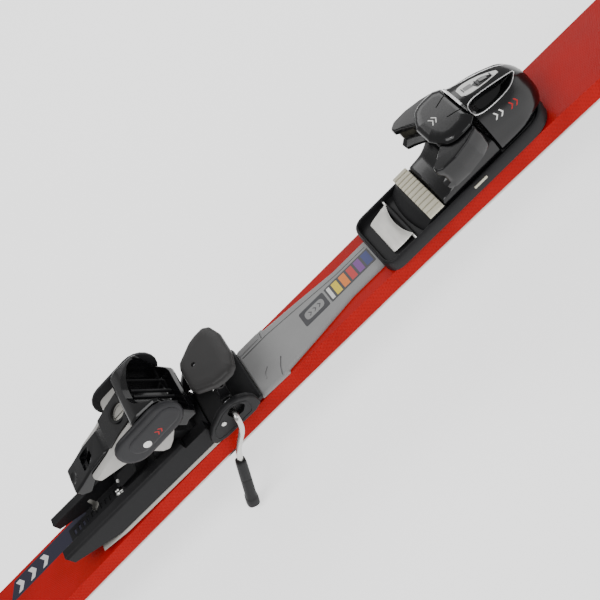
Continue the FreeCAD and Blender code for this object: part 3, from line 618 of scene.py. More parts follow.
def make_lock_flap():
    rows = []
    for x, z, half in ((77.6, 22.6, 21.5), (80, 23.1, 22.5), (86, 23.9, 23.4), (92, 24.6, 24.0),
            (97.5, 25.6, 24.2), (101.0, 26.4, 24.3)):
        row = []
        for k in range(17):
            y = half * (k / 8 - 1)
            bend = 1.0 - (y / 24) ** 2
            reach = 5.6 * bend * max(0, (x - 86) / 15) ** 2
            row.append(at(x - reach, y, z - 0.55 * bend))
        rows.append(row)
    bm = bmesh.new()
    top = [[bm.verts.new(p) for p in row] for row in rows]
    low = [[bm.verts.new(p - at(0, 0, 1.5)) for p in row] for row in rows]
    for grid, order in ((top, 1), (low, -1)):
        for near, far in zip(grid, grid[1:]):
            for k in range(16):
                bm.faces.new((near[k], near[k + 1], far[k + 1], far[k])[::order])
    edge_top, edge_low = (grid[0] + [row[-1] for row in grid[1:-1]] + grid[-1][::-1] + [row[0]
        for row in grid[-2:0:-1]] for grid in (top, low))
    for k in range(len(edge_top)):
        j = (k + 1) % len(edge_top)
        bm.faces.new((edge_top[k], edge_top[j], edge_low[j], edge_low[k]))
    finish("flap_leaf", bm, "flap_steel", "flap", ["lock_flap"], 0.45, 2)
    barrel = rod((100, -22.5, 23.4), (100, 22.5, 23.4), 2.5, 16)
    finish("flap_barrel", barrel, "charcoal", "flap", bevel=0.4)


def make_afd():
    rings = []
    for x, z, half in ((104.8, 21.2, 26.5), (106.5, 23.4, 28.8), (110, 25.4, 29.6), (115, 28.2, 29.9),
            (119.6, 30.2, 30), (136.2, 30.4, 30)):
        ring = []
        for k in range(13):
            share = k / 6 - 1
            y = half * share
            pull = 3.5 * share * share if x < 116 else 0
            ring.append(at(x + pull, y, z - (0.7 * share ** 6)))
        rings.append(ring + [at(p.x, p.y, 20.7) for p in reversed(ring)])
    finish("afd_wedge", ring_mesh(rings), "charcoal", "toe", ["afd_base"], 0.5, 2)
    count = 11
    pitch = 64.6 / count
    rings = []
    for k in range(count):
        for share, lift in ((0.05, -2.6), (0.13, -0.35), (0.26, 0), (0.74, 0), (0.87, -0.35), (0.95, -2.6)):
            y = -32.3 + pitch * (k + share)
            crown = max(32.0, 36.0 - y * y / 420 + lift)
            rings.append([at(119.7, y, 31.1), at(119.7, y, crown - 0.8), at(120.6, y, crown), at(134.4, y,
                crown), at(135.4, y, crown - 0.8), at(135.4, y, 31.1)])
    finish("afd_ribs", ring_mesh(rings), "afd_beige", "glide", ["afd_pad"], 0.25, 2, angle=50)


def make_toe_body():
    profile = catmull([(136.7, 31.5), (138.5, 34.6), (146, 35.6), (152, 37.0), (158, 40.0), (163, 43.8),
        (167, 45.4), (178, 45.6), (190, 45.6), (200.8, 45.4)], 2, closed=False)
    rings = []
    for x, z in profile:
        ring = []
        for y, drop in ((-29.4, 12), (-29.2, 5.0), (-28.2, 2.2), (-25.5, 0.7), (-18, 0.0), (-9, -0.15),
                (0, -0.2), (9, -0.15), (18, 0.0), (25.5, 0.7), (28.2, 2.2), (29.2, 5.0), (29.4, 12)):
            ring.append(Vector((x, y, min(z, 45.7) - drop * min(1, (z - 21) / 16))))
        ring[0].z = ring[-1].z = 20.8
        rings.append(ring)
    finish("toe_shield", ring_mesh(rings), "gloss_black", "toe", ["toe_body"], 0.8, 3, angle=50)
    collar = ring_mesh([at_height(rounded_box((137.2, -29.6), (246.5, 29.6), (2, 18), 0), 20.8),
        at_height(rounded_box((137.2, -29.6), (246.5, 29.6), (2, 18), 0.2), 25.6),
        at_height(rounded_box((138.2, -28.8), (245.5, 28.8), (2, 18), 0.6), 26.7)])
    finish("toe_floor", collar, "charcoal", "toe", bevel=0.3)


def housing_rings():
    """Cross-sections of the housing from the wings to the nose, smoothed along and across."""
    rows = ((203, 29.8, 27.0, 29.8, 44, 28.6, 57, 23.4, 71.5, 17.5, 78.3, 9.5, 81.0),
        (213, 29.8, 27.0, 29.8, 43, 28.2, 55.5, 22.8, 69.5, 17.0, 76.0, 9.5, 78.6),
        (223, 29.5, 27.0, 29.5, 42, 27.8, 54, 22.0, 67.0, 16.6, 73.2, 9.5, 75.5),
        (233, 28.2, 27.0, 28.4, 40.5, 26.2, 52, 20.4, 63.6, 15.6, 69.6, 9.3, 71.8),
        (243, 24.4, 27.0, 25.0, 39, 22.8, 49, 17.6, 59.2, 13.8, 65.0, 8.6, 67.3),
        (250, 20.6, 27.0, 21.4, 37.6, 19.4, 46, 14.8, 54.6, 11.6, 60.4, 7.6, 62.8),
        (255.5, 15.4, 27.2, 16.4, 36, 15.0, 43, 11.2, 49.6, 8.6, 54.4, 6.0, 56.8),
        (259.0, 9.6, 28.6, 10.6, 34.5, 9.8, 40, 7.4, 44.6, 5.6, 48.2, 3.6, 50.0))
    rings = []
    columns = [catmull([at(row[0], row[i], row[i + 1]) for row in rows], 3, closed=False)
        for i in range(1, 13, 2)]
    for half in zip(*columns):
        side = [at(half[0].x, half[0].y * 0.5, half[0].z)] + list(half) + [at(half[-1].x, 0, half[-1].z + 0.7)]
        curve = catmull(side, 3, closed=False)
        rings.append(curve + [at(p.x, -p.y, p.z) for p in reversed(curve[:-1])])
    return rings


SCOOP_AT = at(226, -16.6, 71.5)
SCOOP_ALONG = at(0.955, 0.10, -0.28).normalized()
SCOOP_OUT = at(0.21, -0.62, 0.75).normalized()
SCOOP_SHAPE = [(-24.5, 1.5), (-22.5, 6.4), (-15, 8.4), (-4, 8.2), (8, 6.6), (18, 3.6), (26.5, -2.4),
    (27.5, -4.6), (24, -5.0), (12, -5.6), (-2, -6.0), (-14, -6.0), (-22, -3.8)]


def scoop_paths(surface, side):
    """The scoop's rim laid on the housing, and the tapered cutter below it."""
    across = SCOOP_OUT.cross(SCOOP_ALONG).normalized()
    rim, roof, floor = [], [], []
    for spot in catmull([at(a, b, 0) for a, b in SCOOP_SHAPE], 4):
        a, b = spot.x, spot.y
        start = SCOOP_AT + SCOOP_ALONG * a + across * (-b) + SCOOP_OUT * 20
        hit = surface.ray_cast(start, -SCOOP_OUT)[0]
        point = hit if hit is not None else start - SCOOP_OUT * 20
        rim.append(point)
        centre = SCOOP_AT + SCOOP_ALONG * (-4)
        roof.append(point + SCOOP_OUT * 3 + (point - centre) * 0.03)
        floor.append(centre.lerp(point, 0.55) - SCOOP_OUT * 8)
    if side > 0:
        rim, roof, floor = ([at(p.x, -p.y, p.z) for p in path] for path in (rim, roof, floor))
    return rim, ring_mesh([floor, roof])


def make_housing():
    rings = housing_rings()
    bm = ring_mesh(rings)
    bmesh.ops.recalc_face_normals(bm, faces=bm.faces)
    surface = BVHTree.FromBMesh(bm)
    housing = finish("toe_housing_skin", bm, "gloss_black", "toe", ["toe_housing"])
    for side, mark in SIDES:
        rim, cutter = scoop_paths(surface, side)
        carve(housing, cutter)
        outline = tube_mesh(rim, 0.45, 8, closed=True)
        finish("scoop_rim_" + mark, outline, "silver_line", "toe")
    bore = rod((247.5, 0, 48), (270, 0, 48), 6.0, 28)
    carve(housing, bore)
    return surface


def make_housing_strokes(surface):
    """Plain arrow strokes on the near and the far flank."""
    along, out = at(0.93, 0.16, -0.33).normalized(), at(0.1, -0.86, 0.5).normalized()
    up = out.cross(along).normalized() * -1
    shape = ((0, 3.2), (2.4, 0), (0, -3.2), (1.5, -3.2), (3.9, 0), (1.5, 3.2))
    for side, mark in SIDES:
        for number, (shift, tint) in enumerate(zip((-13, -7.5, 3, 8.5), TINTS)):
            spot = at(226, -26, 56) + along * shift
            points = [on_surface(surface, spot + along * a + up * b, out) for a, b in shape]
            stroke = ring_mesh([[p - out * 0.4 for p in points], [p + out * 0.12 for p in points]])
            finish("housing_stroke_%s_%d" % (mark, number), on_side(stroke, side, -1), tint, "toe")


def on_surface(surface, point, direction, lift=0.0):
    """The place where the surface meets a line through the point, raised by lift."""
    hit = surface.ray_cast(point + direction * 60, -direction)[0]
    return (point if hit is None else hit) + direction * lift


def surface_patch(surface, outline, lift, thick):
    """A thin plate that follows the surface below its plan outline."""
    points = [at(x, y, 70) for x, y in outline]
    centre = sum(points, Vector()) / len(points)
    up = at(0, 0, 1)
    return ring_mesh([[on_surface(surface, centre.lerp(p, share), up, level) for p in points] for share,
        level in ((1.0, lift - thick), (0.97, lift))])


WINDOW_HALF = [(206.5, 4.4), (209.5, 6.6), (214, 7.4), (221, 7.2), (229, 6.0), (237, 3.9), (243, 1.6)]


def make_window(surface):
    """White scale plate let into the crown of the housing, with two grey fields and three marks."""
    def plate(name, half, material, lift, thick, replaced=()):
        finish(name, surface_patch(surface, both_ways(half), lift, thick), material, "toe", replaced)

    plate("window_plate", WINDOW_HALF, "window_white", 0.55, 1.2, ["scale_window"])
    for number, (x0, x1, half) in enumerate(((212, 219.5, 2.1), (226, 233, 1.6))):
        plate("window_field_%d" % number, [(x0, half * 0.9), (x0 + 1, half), (x1 - 1, half), (x1,
            half * 0.9)], "plate_grey", 0.85, 0.5)
    for number, x in enumerate((210.3, 222.6, 236.2)):
        plate("window_mark_%d" % number, [(x, 2.6), (x + 0.9, 2.6)], "label_dark", 0.75, 0.4)


WING_LOW = [(147.6, 30.5), (155, 26.5), (163, 20.5), (171, 15), (184, 14.8), (189, 20), (197.5, 26.5),
    (197, 33), (186, 38.3), (169, 41.6), (153.5, 41.0), (147.2, 36.5)]
WING_MID = [(152.0, 34.0), (157, 31), (164, 24.5), (171.5, 17), (184, 14.8), (189, 20), (197.5, 27),
    (197, 33.6), (185, 38.8), (168, 42.2), (155, 41.8), (151.4, 38.4)]
WING_TOP = [(149.0, 32.6), (155.5, 28.2), (163, 21.5), (171.5, 15), (184, 14.8), (189, 20), (197, 27),
    (196, 33.0), (184, 38.0), (168, 41.4), (154, 40.8), (148.6, 36.8)]


def drawn_in(outline, centre, inset, z):
    """An outline at a height, every point moved towards the centre by inset."""
    places = [at(p[0], p[1], 0) for p in outline]
    return [place + (centre - place).normalized() * inset + at(0, 0, z) for place in places]


def wing_ring(outline, z, inset):
    return drawn_in(soften(outline, [2, 2, 3, 4, 3, 3, 4, 4, 6, 6, 4, 3], 3), at(174, 28, 0), inset, z)


def make_wings():
    for side, hand, mark in ((1, "left", "far"), (-1, "right", "near")):
        levels = ((WING_LOW, 46.5, 1.2), (WING_LOW, 47.1, 0.4), (WING_LOW, 50.5, 0), (WING_MID, 53.2, 0.3),
            (WING_MID, 58, 0), (WING_MID, 64, 0), (WING_TOP, 67.2, 0), (WING_TOP, 71.0, 0), (WING_TOP, 72.6,
            0.7), (WING_TOP, 73.4, 2.0))
        rings = [wing_ring(*level) for level in levels]
        finish("wing_skin_" + mark, on_side(ring_mesh(rings), side), "gloss_black", hand + "_wing",
            ["wing_" + hand])
        lip = catmull([(149.2, 33.4, 46.9), (156, 29.0, 46.7), (163.5, 22.6, 46.7), (170, 17.6, 46.8)], 6,
            closed=False)
        finish("wing_edge_" + mark, on_side(tube_mesh(lip, 1.0, 8), side), "charcoal", hand + "_wing")


def make_toe_cover():
    half = [(162.5, 10), (166, 18.5), (171.5, 27.0), (178, 30.0), (186, 30.4), (195, 29.6), (201.6, 24.5)]
    outline = soften(both_ways(half), [4, 6, 8, 8, 8, 4, 1, 1, 4, 8, 8, 8, 6, 4], 4)
    centre = at(184, 0, 0)
    levels = ((0.4, 74.3), (0, 74.8), (0.2, 75.6), (1.4, 77.2), (3.6, 78.6), (6.6, 79.4), (10.5, 79.8))
    rings = [drawn_in(outline, centre, inset, z) for inset, z in levels]
    lid = finish("toe_lid", ring_mesh(rings), "gloss_black", "toe", ["toe_cover"])
    grooves = [slab_mesh([(186.6, side * 9), (200, side * 13.5), (203, side * 13.5), (203, side * 12.5),
        (200.2, side * 12.5), (187, side * 8)], 78.6, 84) for side in (-1, 1)]
    carve(lid, *grooves)
    post = block(box(167.2, -9.8, 200.8, 9.8), 2, 5, 46, 74.4)
    finish("toe_post", post, "charcoal", "toe", bevel=0.4)
    marks = [slab_mesh([(174 + 3.4 * k, 4.2), (176.6 + 3.4 * k, 0), (174 + 3.4 * k, -4.2), (175 + 3.4 * k,
        -4.2), (177.6 + 3.4 * k, 0), (175 + 3.4 * k, 4.2)], 79.5, 79.95) for k in range(2)]
    finish("lid_chevrons", joined(*marks), "window_white", "toe")


def make_toe_screw():
    cross_head("toe_screw_head", (256.5, 0, 48), (1, 0, 0), 4.9, 2.2, "toe_screw", arms=1)


make_toe_tray()
make_lock_flap()
make_afd()
make_toe_body()
HOUSING_SURFACE = make_housing()
make_window(HOUSING_SURFACE)
make_housing_strokes(HOUSING_SURFACE)
make_wings()
make_toe_cover()
make_toe_screw()


# ---- ski surface and centre plate ----

def turn_of(outline):
    """1 for an outline that runs anticlockwise, -1 for a clockwise one."""
    pairs = zip(outline, outline[1:] + outline[:1])
    return 1 if sum(a[0] * b[1] - b[0] * a[1] for a, b in pairs) > 0 else -1


def pulled_in(outline, distance):
    """A closed outline moved inwards by a distance."""
    count = len(outline)
    turn = turn_of(outline)
    moved = []
    for i in range(count):
        before, here, after = (Vector(outline[(i + k) % count]) for k in (-1, 0, 1))
        first, second = (here - before).normalized(), (after - here).normalized()
        normal = Vector((-(first + second).y, (first + second).x)).normalized() * turn
        stretch = max(0.5, abs(normal.dot(Vector((-first.y, first.x)))))
        moved.append(here + normal * distance / stretch)
    return moved


def cushion(corners, radii, levels, plane="XY", steps=4):
    """A slab whose edge follows (inset, height) levels; without radii the outline is already smooth."""
    lay = LAY[plane]
    count = len(corners)
    turn = turn_of(corners)
    rings = []
    for inset, height in levels:
        outline = pulled_in(corners, inset)
        if radii is not None:
            sizes = radii if isinstance(radii, (list, tuple)) else [radii] * count
            rounds = []
            for i in range(count):
                before = Vector(corners[i]) - Vector(corners[i - 1])
                after = Vector(corners[(i + 1) % count]) - Vector(corners[i])
                convex = before.cross(after) * turn > 0
                rounds.append(max(0.3, sizes[i] - inset) if convex else sizes[i] + inset)
            outline = soften(outline, rounds, steps)
        rings.append([lay(p[0], p[1], height) for p in outline])
    return ring_mesh(rings)


def outward(side, levels):
    """Levels measured from the ski's middle, on one side of it."""
    return [(inset, side * height) for inset, height in levels]


def through(half):
    """Levels from one face to the other, from (inset, height) pairs of the upper half."""
    return [(inset, -height) for inset, height in reversed(half)] + list(half)


def chevrons(places, size, low, high, width=1.2):
    """Plain arrow strokes lying on a level surface, pointing to the tip."""
    strokes = []
    for x, y in places:
        strokes.append(slab_mesh([(x, y + size), (x + size, y), (x, y - size), (x + width, y - size),
            (x + width + size, y), (x + width, y + size)], low, high))
    return joined(*strokes)


PLATE_HALF = [(-94, 31), (-66, 31.5), (-60.5, 31.5), (-59.5, 28.6), (-20, 24.5), (25, 19), (240, 19)]


def make_plate():
    radii = [1, 2, 1, 1, 0, 8, 1, 1, 8, 0, 1, 1, 2, 1]
    levels = ((0.0, 15.05), (0.2, 16.2), (0.9, 17.3), (2.0, 18.1), (3.2, 18.58))
    plate = finish("plate_skin", cushion(both_ways(PLATE_HALF), radii, levels), "plate_grey", "ski",
        ["centre_plate"])
    grooves = (
        ([(-90, 18.6), (-60, 19.0), (-20, 15.6), (25, 11.4), (61, 11.0), (61, 11.9), (25, 12.4),
          (-20, 16.8), (-60, 20.2), (-90, 19.8)], 17.7),
        ([(-68.5, -33), (-66.8, -33), (-62.6, -20), (-58, -12), (-59.2, -11.2), (-64.2, -19.4)], 17.5),
        ([(-80, -20), (-78.6, -14), (-74, -10), (-74.6, -9), (-80, -13.4), (-81.2, -20)], 17.9),
        ([(-65, 21), (-63.4, 21), (-61, 33), (-63.4, 33)], 17.2))
    carve(plate, *[slab_mesh(outline, depth, 20) for outline, depth in grooves])
    far_block = cushion([(-92, 22.5), (-66.5, 22.8), (-64.5, 29.6), (-92, 29.4)], 2,
        ((0, 18.3), (0.2, 19.0), (1.0, 19.4)))
    finish("plate_far_block", far_block, "plate_grey", "ski")
    label = cushion(box(-24, -9, 6, 9), 2, ((0, 18.5), (0.2, 18.74), (0.6, 18.8)))
    finish("label_skin", label, "label_dark", "ski", ["plate_label"])
    pill = cushion(box(-20, -5, 2.5, 5), 4.6, ((0, 18.7), (0.2, 18.95)))
    finish("label_pill", pill, "plate_grey", "ski")
    finish("label_arrows", chevrons([(-15.5, 0), (-10, 0), (-4.5, 0)], 2.4, 18.8, 19.0), "label_dark", "ski")
    sticker = cushion(box(8, -9, 62, 9), 0.6, ((0, 18.5), (0.1, 18.75), (0.3, 18.8)))
    finish("sticker_skin", sticker, "sticker", "ski", ["scale_sticker"])


def sticker_material():
    """Dark label with a row of coloured bars, printed a little unevenly."""
    shader = Shader("sticker", (0.03, 0.03, 0.035), 0.4)
    x, y, z = shader.axes()
    colour = (0.045, 0.045, 0.050)
    bars = ((0.0100, 0.0135, (0.70, 0.70, 0.68)), (0.0160, 0.0225, (0.72, 0.55, 0.02)),
        (0.0250, 0.0320, (0.75, 0.20, 0.02)), (0.0345, 0.0410, (0.50, 0.03, 0.03)),
        (0.0435, 0.0500, (0.17, 0.05, 0.24)), (0.0525, 0.0600, (0.03, 0.04, 0.16)))
    print_share = shader.ramp(shader.noise(900, 2), 0.25, 0.5, 0.75, 1)
    inside = shader.maths("MULTIPLY", shader.between(y, -0.0072, 0.0072), print_share)
    for low, high, tint in bars:
        share = shader.maths("MULTIPLY", inside, shader.between(x, low, high))
        colour = shader.mix(share, colour, tint)
    shader.colour(colour)
    shader.bump(shader.noise(500, 2), 0.2, 0.00005)
    return shader.material


MATERIALS["sticker"] = sticker_material()


# ---- brake ----

def make_brake_base():
    outline = [(-150, 23.5), (-140, 20.2), (-104, 19.4), (-95, 23), (-94.2, 33), (-97, 41), (-104, 47.5),
        (-112, 50), (-124, 49.8), (-138, 43.4), (-147, 36), (-151, 29.5)]
    for side, mark in SIDES:
        levels = outward(side, ((0.6, 33.1), (0, 33.9), (0, 37.0), (0.5, 38.3), (1.6, 38.95)))
        cheek = finish("brake_cheek_" + mark, cushion(outline, [3, 8, 6, 4, 6, 6, 6, 8, 10, 12, 8, 3],
            levels, "XZ"), "charcoal", "ski", ["brake_base"])
        window = block([(-121, 32.5), (-110.5, 31), (-104.5, 36), (-107, 43.5), (-116, 45.5), (-121.5, 42)],
            3.4, 5, side * 34.5, side * 41, "XZ")
        groove = [at(p[0], side * 38.9, p[1]) for p in soften([(-147, 26), (-126, 23.5), (-104, 24),
            (-101, 38), (-110, 46.5), (-123, 46), (-140, 38)], 6, 5)]
        carve(cheek, window)
        finish("brake_cheek_bead_" + mark, tube_mesh(groove, 0.5, 8, closed=True), "charcoal", "ski")
        finish("brake_rivet_" + mark, rivet_mesh((-130, side * 38.9, 37), (0, side, 0), 2.5, 1.1), "steel",
            "ski", ["brake_rivets"])
    floor = cushion(box(-146.6, -33.3, -92.4, 33.3), 1, ((0.3, 19), (0, 19.5), (0, 23.2), (0.8, 24)))
    finish("brake_floor_skin", floor, "charcoal", "ski")


def make_brake_arms():
    for side, mark in HANDS:
        path = catmull([(-116, 24.6, 38), (-116, 35, 38), (-116.3, 41.2, 37.8), (-117.3, 44.4, 36.0),
            (-119.2, 45.6, 31.0), (-124.5, 46.0, 22.5), (-134.5, 46.3, 14.0), (-142.6, 46.8, 6.5),
            (-148.2, 47, -2.0), (-156, 47.3, -15.5), (-166, 47.6, -33)], 5, closed=False)
        wire = on_side(tube_mesh(path, 2.7, 14), side)
        finish("brake_wire_" + mark, wire, "steel", "brake", ["brake_arm_" + mark])
        top, end = at(-149, 47.05, -3.0), at(-181, 48, -59.4)
        steps = [(0, 4.4), (0.012, 5.0), (0.05, 5.3), (0.36, 5.5), (0.37, 5.1), (0.40, 5.1), (0.41, 5.5),
            (0.78, 5.6), (0.83, 6.5), (0.86, 6.6), (0.97, 6.6), (0.99, 6.0), (1.0, 4.8)]
        along = (end - top).normalized()
        across = at(0, 1, 0)
        other = along.cross(across).normalized()
        rings = []
        for share, size in steps:
            ring = []
            for k in range(20):
                angle = 2 * math.pi * k / 20
                square = (abs(math.cos(angle)) ** 3.2 + abs(math.sin(angle)) ** 3.2) ** (-1 / 3.2)
                ring.append(top.lerp(end,
                    share) + (across * math.cos(angle) + other * math.sin(angle)) * size * min(square,
                    1.12) * 0.93)
            rings.append(ring)
        finish("brake_sleeve_" + mark, on_side(ring_mesh(rings), side), "rubber_black", "brake",
            ["brake_foot_" + mark], 0.3, 2)


def make_brake_frame():
    web = slab_mesh([(-121.5, 39), (-111, 37), (-102.6, 58.4), (-109.3, 61.6)], -20.8, 20.8, "XZ")
    hub = rod((-116, -23.8, 38), (-116, 23.8, 38), 5.5, 24)
    barrel = rod((-106, -20.8, 60), (-106, 20.8, 60), 3.5, 18)
    finish("frame_skin", joined(web, hub, barrel), "charcoal", "brake", ["brake_frame"], 0.6, 2)
    for side, mark in SIDES:
        cross_head("frame_screw_" + mark, (-116.9, side * 12, 49.9), (-0.91, 0, 0.41), 3.1, 2.0, "brake")
    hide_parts("brake_screws")


PAD_HALF = [(-128.4, 13), (-126, 19.5), (-108, 30.2), (-100, 32), (-90, 32), (-84.5, 28), (-80, 14)]


def make_brake_pad():
    outline = soften(both_ways(PAD_HALF), [6, 5, 8, 5, 4, 3, 8, 8, 3, 4, 5, 8, 5, 6], 5)
    centre = at(-100, 0, 0)
    rings = []
    for inset, z in ((2.2, 64.0), (0.8, 64.25), (0.1, 65.0), (0.0, 67.2), (0.25, 69.2), (1.0, 70.7),
            (2.4, 71.6), (4.6, 71.95), (8.5, 72.0), (14, 71.7)):
        ring = []
        for q in outline:
            p = centre.xy + (Vector((q[0], q[1])) - centre.xy) * (1 - inset / 25)
            droop = 0.0
            if p.x > -92:
                droop = min(1.0, (p.x + 92) / 11) ** 2 * 2.6 * max(0, (z - 66)) / 6
            ring.append(at(p.x, p.y, z - droop))
        rings.append(ring)
    pad = finish("brake_pad_skin", ring_mesh(rings), "pad_grey", "pad", ["brake_pad"])
    hole = rod((-114, 5, 69.5), (-114, 5, 76), 2.3, 20)
    pocket = slab_mesh(box(-127, -16.5, -113, 16.5), 60, 67.2)
    carve(pad, hole, pocket)
    finish("pad_screw", rivet_mesh((-114, 5, 69.3), (0, 0, 1), 2.0, 1.0), "spring_steel", "pad")
    for side, mark in SIDES:
        lug = block([(-110, 56.4), (-102, 56.4), (-101.8, 64.6), (-110.2, 64.6)], [3.8, 3.8, 0.4, 0.4], 5,
            side * 21.7, side * 25.8, "XZ")
        finish("pad_lug_" + mark, lug, "pad_grey", "pad", bevel=0.4)


# ---- heel ----

HEEL = Matrix.Translation((-182, 0, 50)) @ Matrix.Rotation(math.radians(-30), 4, "Y")


def opened(bm):
    """Carry a mesh drawn in the heel's closed frame to the open position."""
    bm.transform(HEEL)
    return bm


def heel_piece(name, bm, replaced=(), material="gloss_black", bevel=0.0):
    return finish(name, opened(bm), material, "heel", replaced, bevel)


TRACK_SCREWS = [(x, y) for x in (-165, -285) for y in (-11, 11)]


def make_track():
    section = soften([(-31, 19), (31, 19), (26.2, 38.5), (24.8, 41), (15.5, 41), (14.9, 25.2),
        (-14.9, 25.2), (-15.5, 41), (-24.8, 41), (-26.2, 38.5)],
        [0.5, 0.5, 3, 2, 0.8, 0.3, 0.3, 0.8, 2, 3], 3)
    bm = slab_mesh(section, -325, -147.2, "YZ")
    slice_off(bm, (-272, 0, 19), (-13, 0, -53))
    track = finish("track_skin", bm, "charcoal", "ski", ["heel_track"])
    tail_corner = slab_mesh([(-326, -24), (-317, -34), (-330, -40)], 10, 50)
    low_front = slab_mesh(box(-173, -40, -140, 40), 35.8, 50)
    tail_foot = slab_mesh([(-330, 36), (-322.5, 30), (-319, 24), (-330, 20)], -40, 16, "XZ")
    wells = [rod((x, y, 17), (x, y, 33), 4.6, 20) for x, y in TRACK_SCREWS]
    carve(track, tail_corner, low_front, tail_foot, *wells)
    round_edges(track, 0.7, 2, 30)
    lifter = block(box(-299, -31.5, -134, 31.5), 1.5, 3, 15.05, 18.98)
    slice_off(lifter, (-272, 0, 15.4), (-4.2, 0, -30))
    strip = finish("lifter_skin", lifter, "lifter_grey", "ski", ["heel_lifter"])
    carve(strip, *[rod((x, y, 10), (x, y, 30), 4.2, 20) for x, y in TRACK_SCREWS])
    round_edges(strip, 0.6, 2, 30)


def make_tongue():
    profile = soften([(-245, 35.2), (-213, 35.2), (-205.3, 51.5), (-208.5, 56.6), (-213.5, 54),
        (-224, 39.4), (-245, 38)], [0.4, 4, 2, 2, 2, 6, 0.8], 4)
    tongue = finish("tongue_skin", slab_mesh(profile, -7, 8, "XZ"), "charcoal", "carriage",
        ["pressure_tongue"])
    way = rod((-242, -7, 29.4), (-270, -7, 39.6), 5.6, 24)
    carve(tongue, way)
    round_edges(tongue, 0.6, 2, 30)
    cross_head("adjust_head", (-251.2, -7, 32.8), (-0.94, 0, 0.342), 5.0, 3.2, "adjuster")
    pin = rivet_mesh((-247, 3.5, 35.2), (-0.3, 0, 0.95), 1.8, 2.0)
    finish("tongue_pin", pin, "window_white", "carriage")


SHELL_PROFILE = [(26, -2), (29.8, 12), (29.6, 30), (27, 41), (12, 46), (-12, 51), (-36, 58.5), (-38.5, 50),
    (-19, 31), (-6.5, 13), (-7.5, 0), (-4, -6.4), (6, -6.4)]


def make_shell():
    radii = [3, 8, 8, 6, 14, 20, 3, 3, 10, 8, 5, 3, 10]
    levels = through(((0, 18.6), (0.7, 20.6), (1.9, 21.7), (3.2, 22.0)))
    body = cushion(SHELL_PROFILE, radii, levels, "XZ")
    shell = heel_piece("heel_shell_skin", body, ["heel_shell"], "heel_silver")
    axis_low, axis_high = at(9, 0, 15.6), at(36, 0, 69.2)
    fork = opened(slab_mesh(box(-32, -14.8, 20, 14.8), -20, 13))
    room = opened(block(box(-50, -15.8, -1.5, 15.8), [0.5, 6, 6, 0.5], 5, 27, 70))
    well = opened(rod(axis_low, axis_high, 8.6, 32))
    mouth = opened(tube_mesh([axis_low.lerp(axis_high, 0.50), axis_low.lerp(axis_high, 0.75)],
        lambda share: 8.6 + 5.5 * share, 32))
    carve(shell, fork, room, well, mouth)
    round_edges(shell, 0.5, 2, 30)
    collar = tube_mesh([axis_low.lerp(axis_high, 0.515), axis_low.lerp(axis_high, 0.545)], 11.2, 32)
    bore = opened(rod(axis_low, axis_high, 8.7, 32))
    carve(heel_piece("shell_collar", collar), bore)
    insert = [(27.2, 41.2), (12, 46.2), (-2, 49), (-3.5, 51.2), (12, 47.6), (30, 42.6)]
    insert = block(insert, [2, 12, 1, 1, 12, 2], 3, -18, 18, "XZ")
    saddle = heel_piece("shell_saddle", insert)
    carve(saddle, opened(rod(axis_low, axis_high, 8.8, 32)))
    round_edges(saddle, 0.6, 2, 30)


def make_cup():
    profile = [(30.6, -8.3), (37, -8.3), (45.6, -13.2), (47.4, -10), (49.8, 6), (56, 18), (62, 29),
        (60.2, 33), (52, 38.5), (44, 43.8), (30.6, 46.3)]
    radii = [1, 4, 1.5, 2, 10, 10, 1.5, 2, 6, 12, 6]
    levels = through(((0, 28.0), (0.5, 29.6), (1.5, 30.7), (2.6, 31)))
    cup = heel_piece("heel_cup_skin", cushion(profile, radii, levels, "XZ"), ["heel_cup"])
    room_profile = [(34.8, -4.2), (70, -8.2), (78, 30), (52, 36.5), (34.8, 39)]
    room_levels = through(((0, 24.0), (1.6, 26.8), (4.0, 27.6)))
    room = opened(cushion(room_profile, [5, 0.5, 0.5, 6, 8], room_levels, "XZ"))
    mouth = [(66, -30.2), (56, -26.5), (46, -17), (42.5, -6), (42.5, 6), (46, 17), (56, 26.5), (66, 30.2),
        (90, 32), (90, -32)]
    scallop = opened(block(mouth, [0.3, 14, 14, 8, 8, 14, 14, 0.3, 0.3, 0.3], 5, 25, 62))
    carve(cup, room, scallop)
    round_edges(cup, 0.7, 2, 32)
    lip = [Vector((45.5, y, -10.6 + 0.8 * (1 - (y / 22) ** 2))) for y in range(-22, 23, 4)]
    heel_piece("cup_step", tube_mesh(lip, 1.9, 10))
    ribs = [block([(37 + 0.2 * k, 8 * k - 1.2), (40, 8 * k - 1.2), (40, 8 * k + 1.2), (37, 8 * k + 1.2)],
        0.4, 2, -4.6, 34) for k in (-1, 0, 1)]
    heel_piece("cup_ribs", joined(*ribs), (), "charcoal", 0.3)


COVER_MIDDLE = Vector((27.5, 28))
COVER_ALONG, COVER_ACROSS = Vector((-0.886, 0.463)), Vector((0.463, 0.886))


def bean_outline(radius, back, front, steps=10):
    """Capsule on the heel's flank, in the closed frame's (x, z)."""
    outline = []
    for end, start in ((back, -90), (-front, 90)):
        for k in range(steps + 1):
            angle = math.radians(start + 180 * k / steps)
            edge = (COVER_ALONG * math.cos(angle) + COVER_ACROSS * math.sin(angle)) * radius
            outline.append(COVER_MIDDLE + COVER_ALONG * end + edge)
    return outline


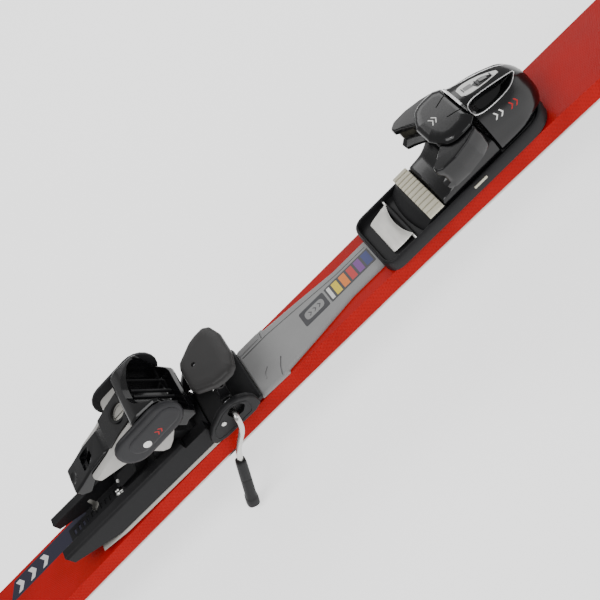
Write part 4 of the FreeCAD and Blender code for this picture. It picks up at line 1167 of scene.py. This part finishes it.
def make_heel_covers():
    outline = bean_outline(18.5, 17.5, 17.5)
    for side, mark in HANDS:
        levels = outward(side, ((0.5, 31.3), (0, 31.8), (0, 33.2), (0.7, 34.6), (2.2, 35.6), (4.6, 36.0)))
        skin = cushion(outline, None, levels, "XZ")
        heel_piece("cover_skin_" + mark, skin, ["heel_cover_" + mark], "cover_grey")
        raised = outward(side, ((0, 35.6), (0.3, 36.3), (1.4, 36.7), (3.0, 36.8)))
        panel = cushion(bean_outline(10.5, 12, 22.0), None, raised, "XZ")
        heel_piece("cover_panel_" + mark, panel, (), "cover_grey")
        bridge = slab_mesh(bean_outline(8, 22, -3), side * 21.5, side * 31.5, "XZ")
        heel_piece("cover_bridge_" + mark, bridge, (), "heel_silver")
        rivet = rivet_mesh((17.4, side * 35.8, 28), (0, side, 0), 4.4, 1.3)
        heel_piece("heel_rivet_" + mark, rivet, ["heel_rivets"], "steel")
        for number, (shift, tint) in enumerate(zip((16.5, 12.8, -3.5, -7.2), TINTS)):
            spot = COVER_MIDDLE + COVER_ALONG * shift - COVER_ACROSS * 3.5
            stroke = [spot + COVER_ACROSS * b - COVER_ALONG * a for a, b in ((0, 2.8), (2.2, 0), (0, -2.8),
                (1.3, -2.8), (3.5, 0), (1.3, 2.8))]
            level = 36.75 if shift < 4 else 35.95
            mesh = slab_mesh(stroke, side * (level - 0.3), side * (level + 0.08), "XZ")
            heel_piece("cover_stroke_%s_%d" % (mark, number), mesh, (), tint)


def make_lever():
    profile = [(-3.6, 33.6), (-2.6, 43), (-10, 52.8), (-30, 60.8), (-46, 64.5), (-57.6, 67.8),
        (-60.8, 60.5), (-56.8, 51.2), (-38, 51.6), (-16, 36.2), (-11, 33.2)]
    radii = [2, 4, 8, 12, 20, 3, 4, 4, 8, 6, 2]
    levels = through(((0, 12.4), (0.5, 14.0), (1.4, 14.8), (2.6, 15.1)))
    lever = finish("lever_skin", opened(cushion(profile, radii, levels, "XZ")), "gloss_black", "lever",
        ["heel_lever"])
    slot = opened(block(box(-34, -4, -23, 4), 0.8, 3, 30, 75))
    recess = opened(block(box(-37, -9, -20, 9), 2, 4, 58.2, 80))
    bore = opened(rod((-8, -20, 38), (-8, 20, 38), 2.15, 18))
    dish = bmesh.new()
    bmesh.ops.create_uvsphere(dish, u_segments=32, v_segments=16, radius=1.0)
    bmesh.ops.transform(dish, verts=dish.verts,
        matrix=Matrix.Translation((-50, 0, 71)) @ Matrix.Diagonal((8.5, 10.5, 6.5, 1)))
    carve(lever, slot, recess, bore, opened(dish))
    round_edges(lever, 0.4, 2, 35)


make_plate()
make_brake_base()
make_brake_arms()
make_brake_frame()
make_brake_pad()
make_track()
make_tongue()
make_shell()
make_cup()
make_heel_covers()
make_lever()


# ---- sharp edges and even normals on the built pieces ----

CAD_OBJECTS = set(frame["nodes"].values())
for piece in bpy.context.scene.objects:
    if piece.type == "MESH" and piece not in CAD_OBJECTS and piece.name != "floor":
        piece.data.set_sharp_from_angle(angle=math.radians(40))
        facing = piece.modifiers.new("even_normals", "WEIGHTED_NORMAL")
        facing.keep_sharp = True
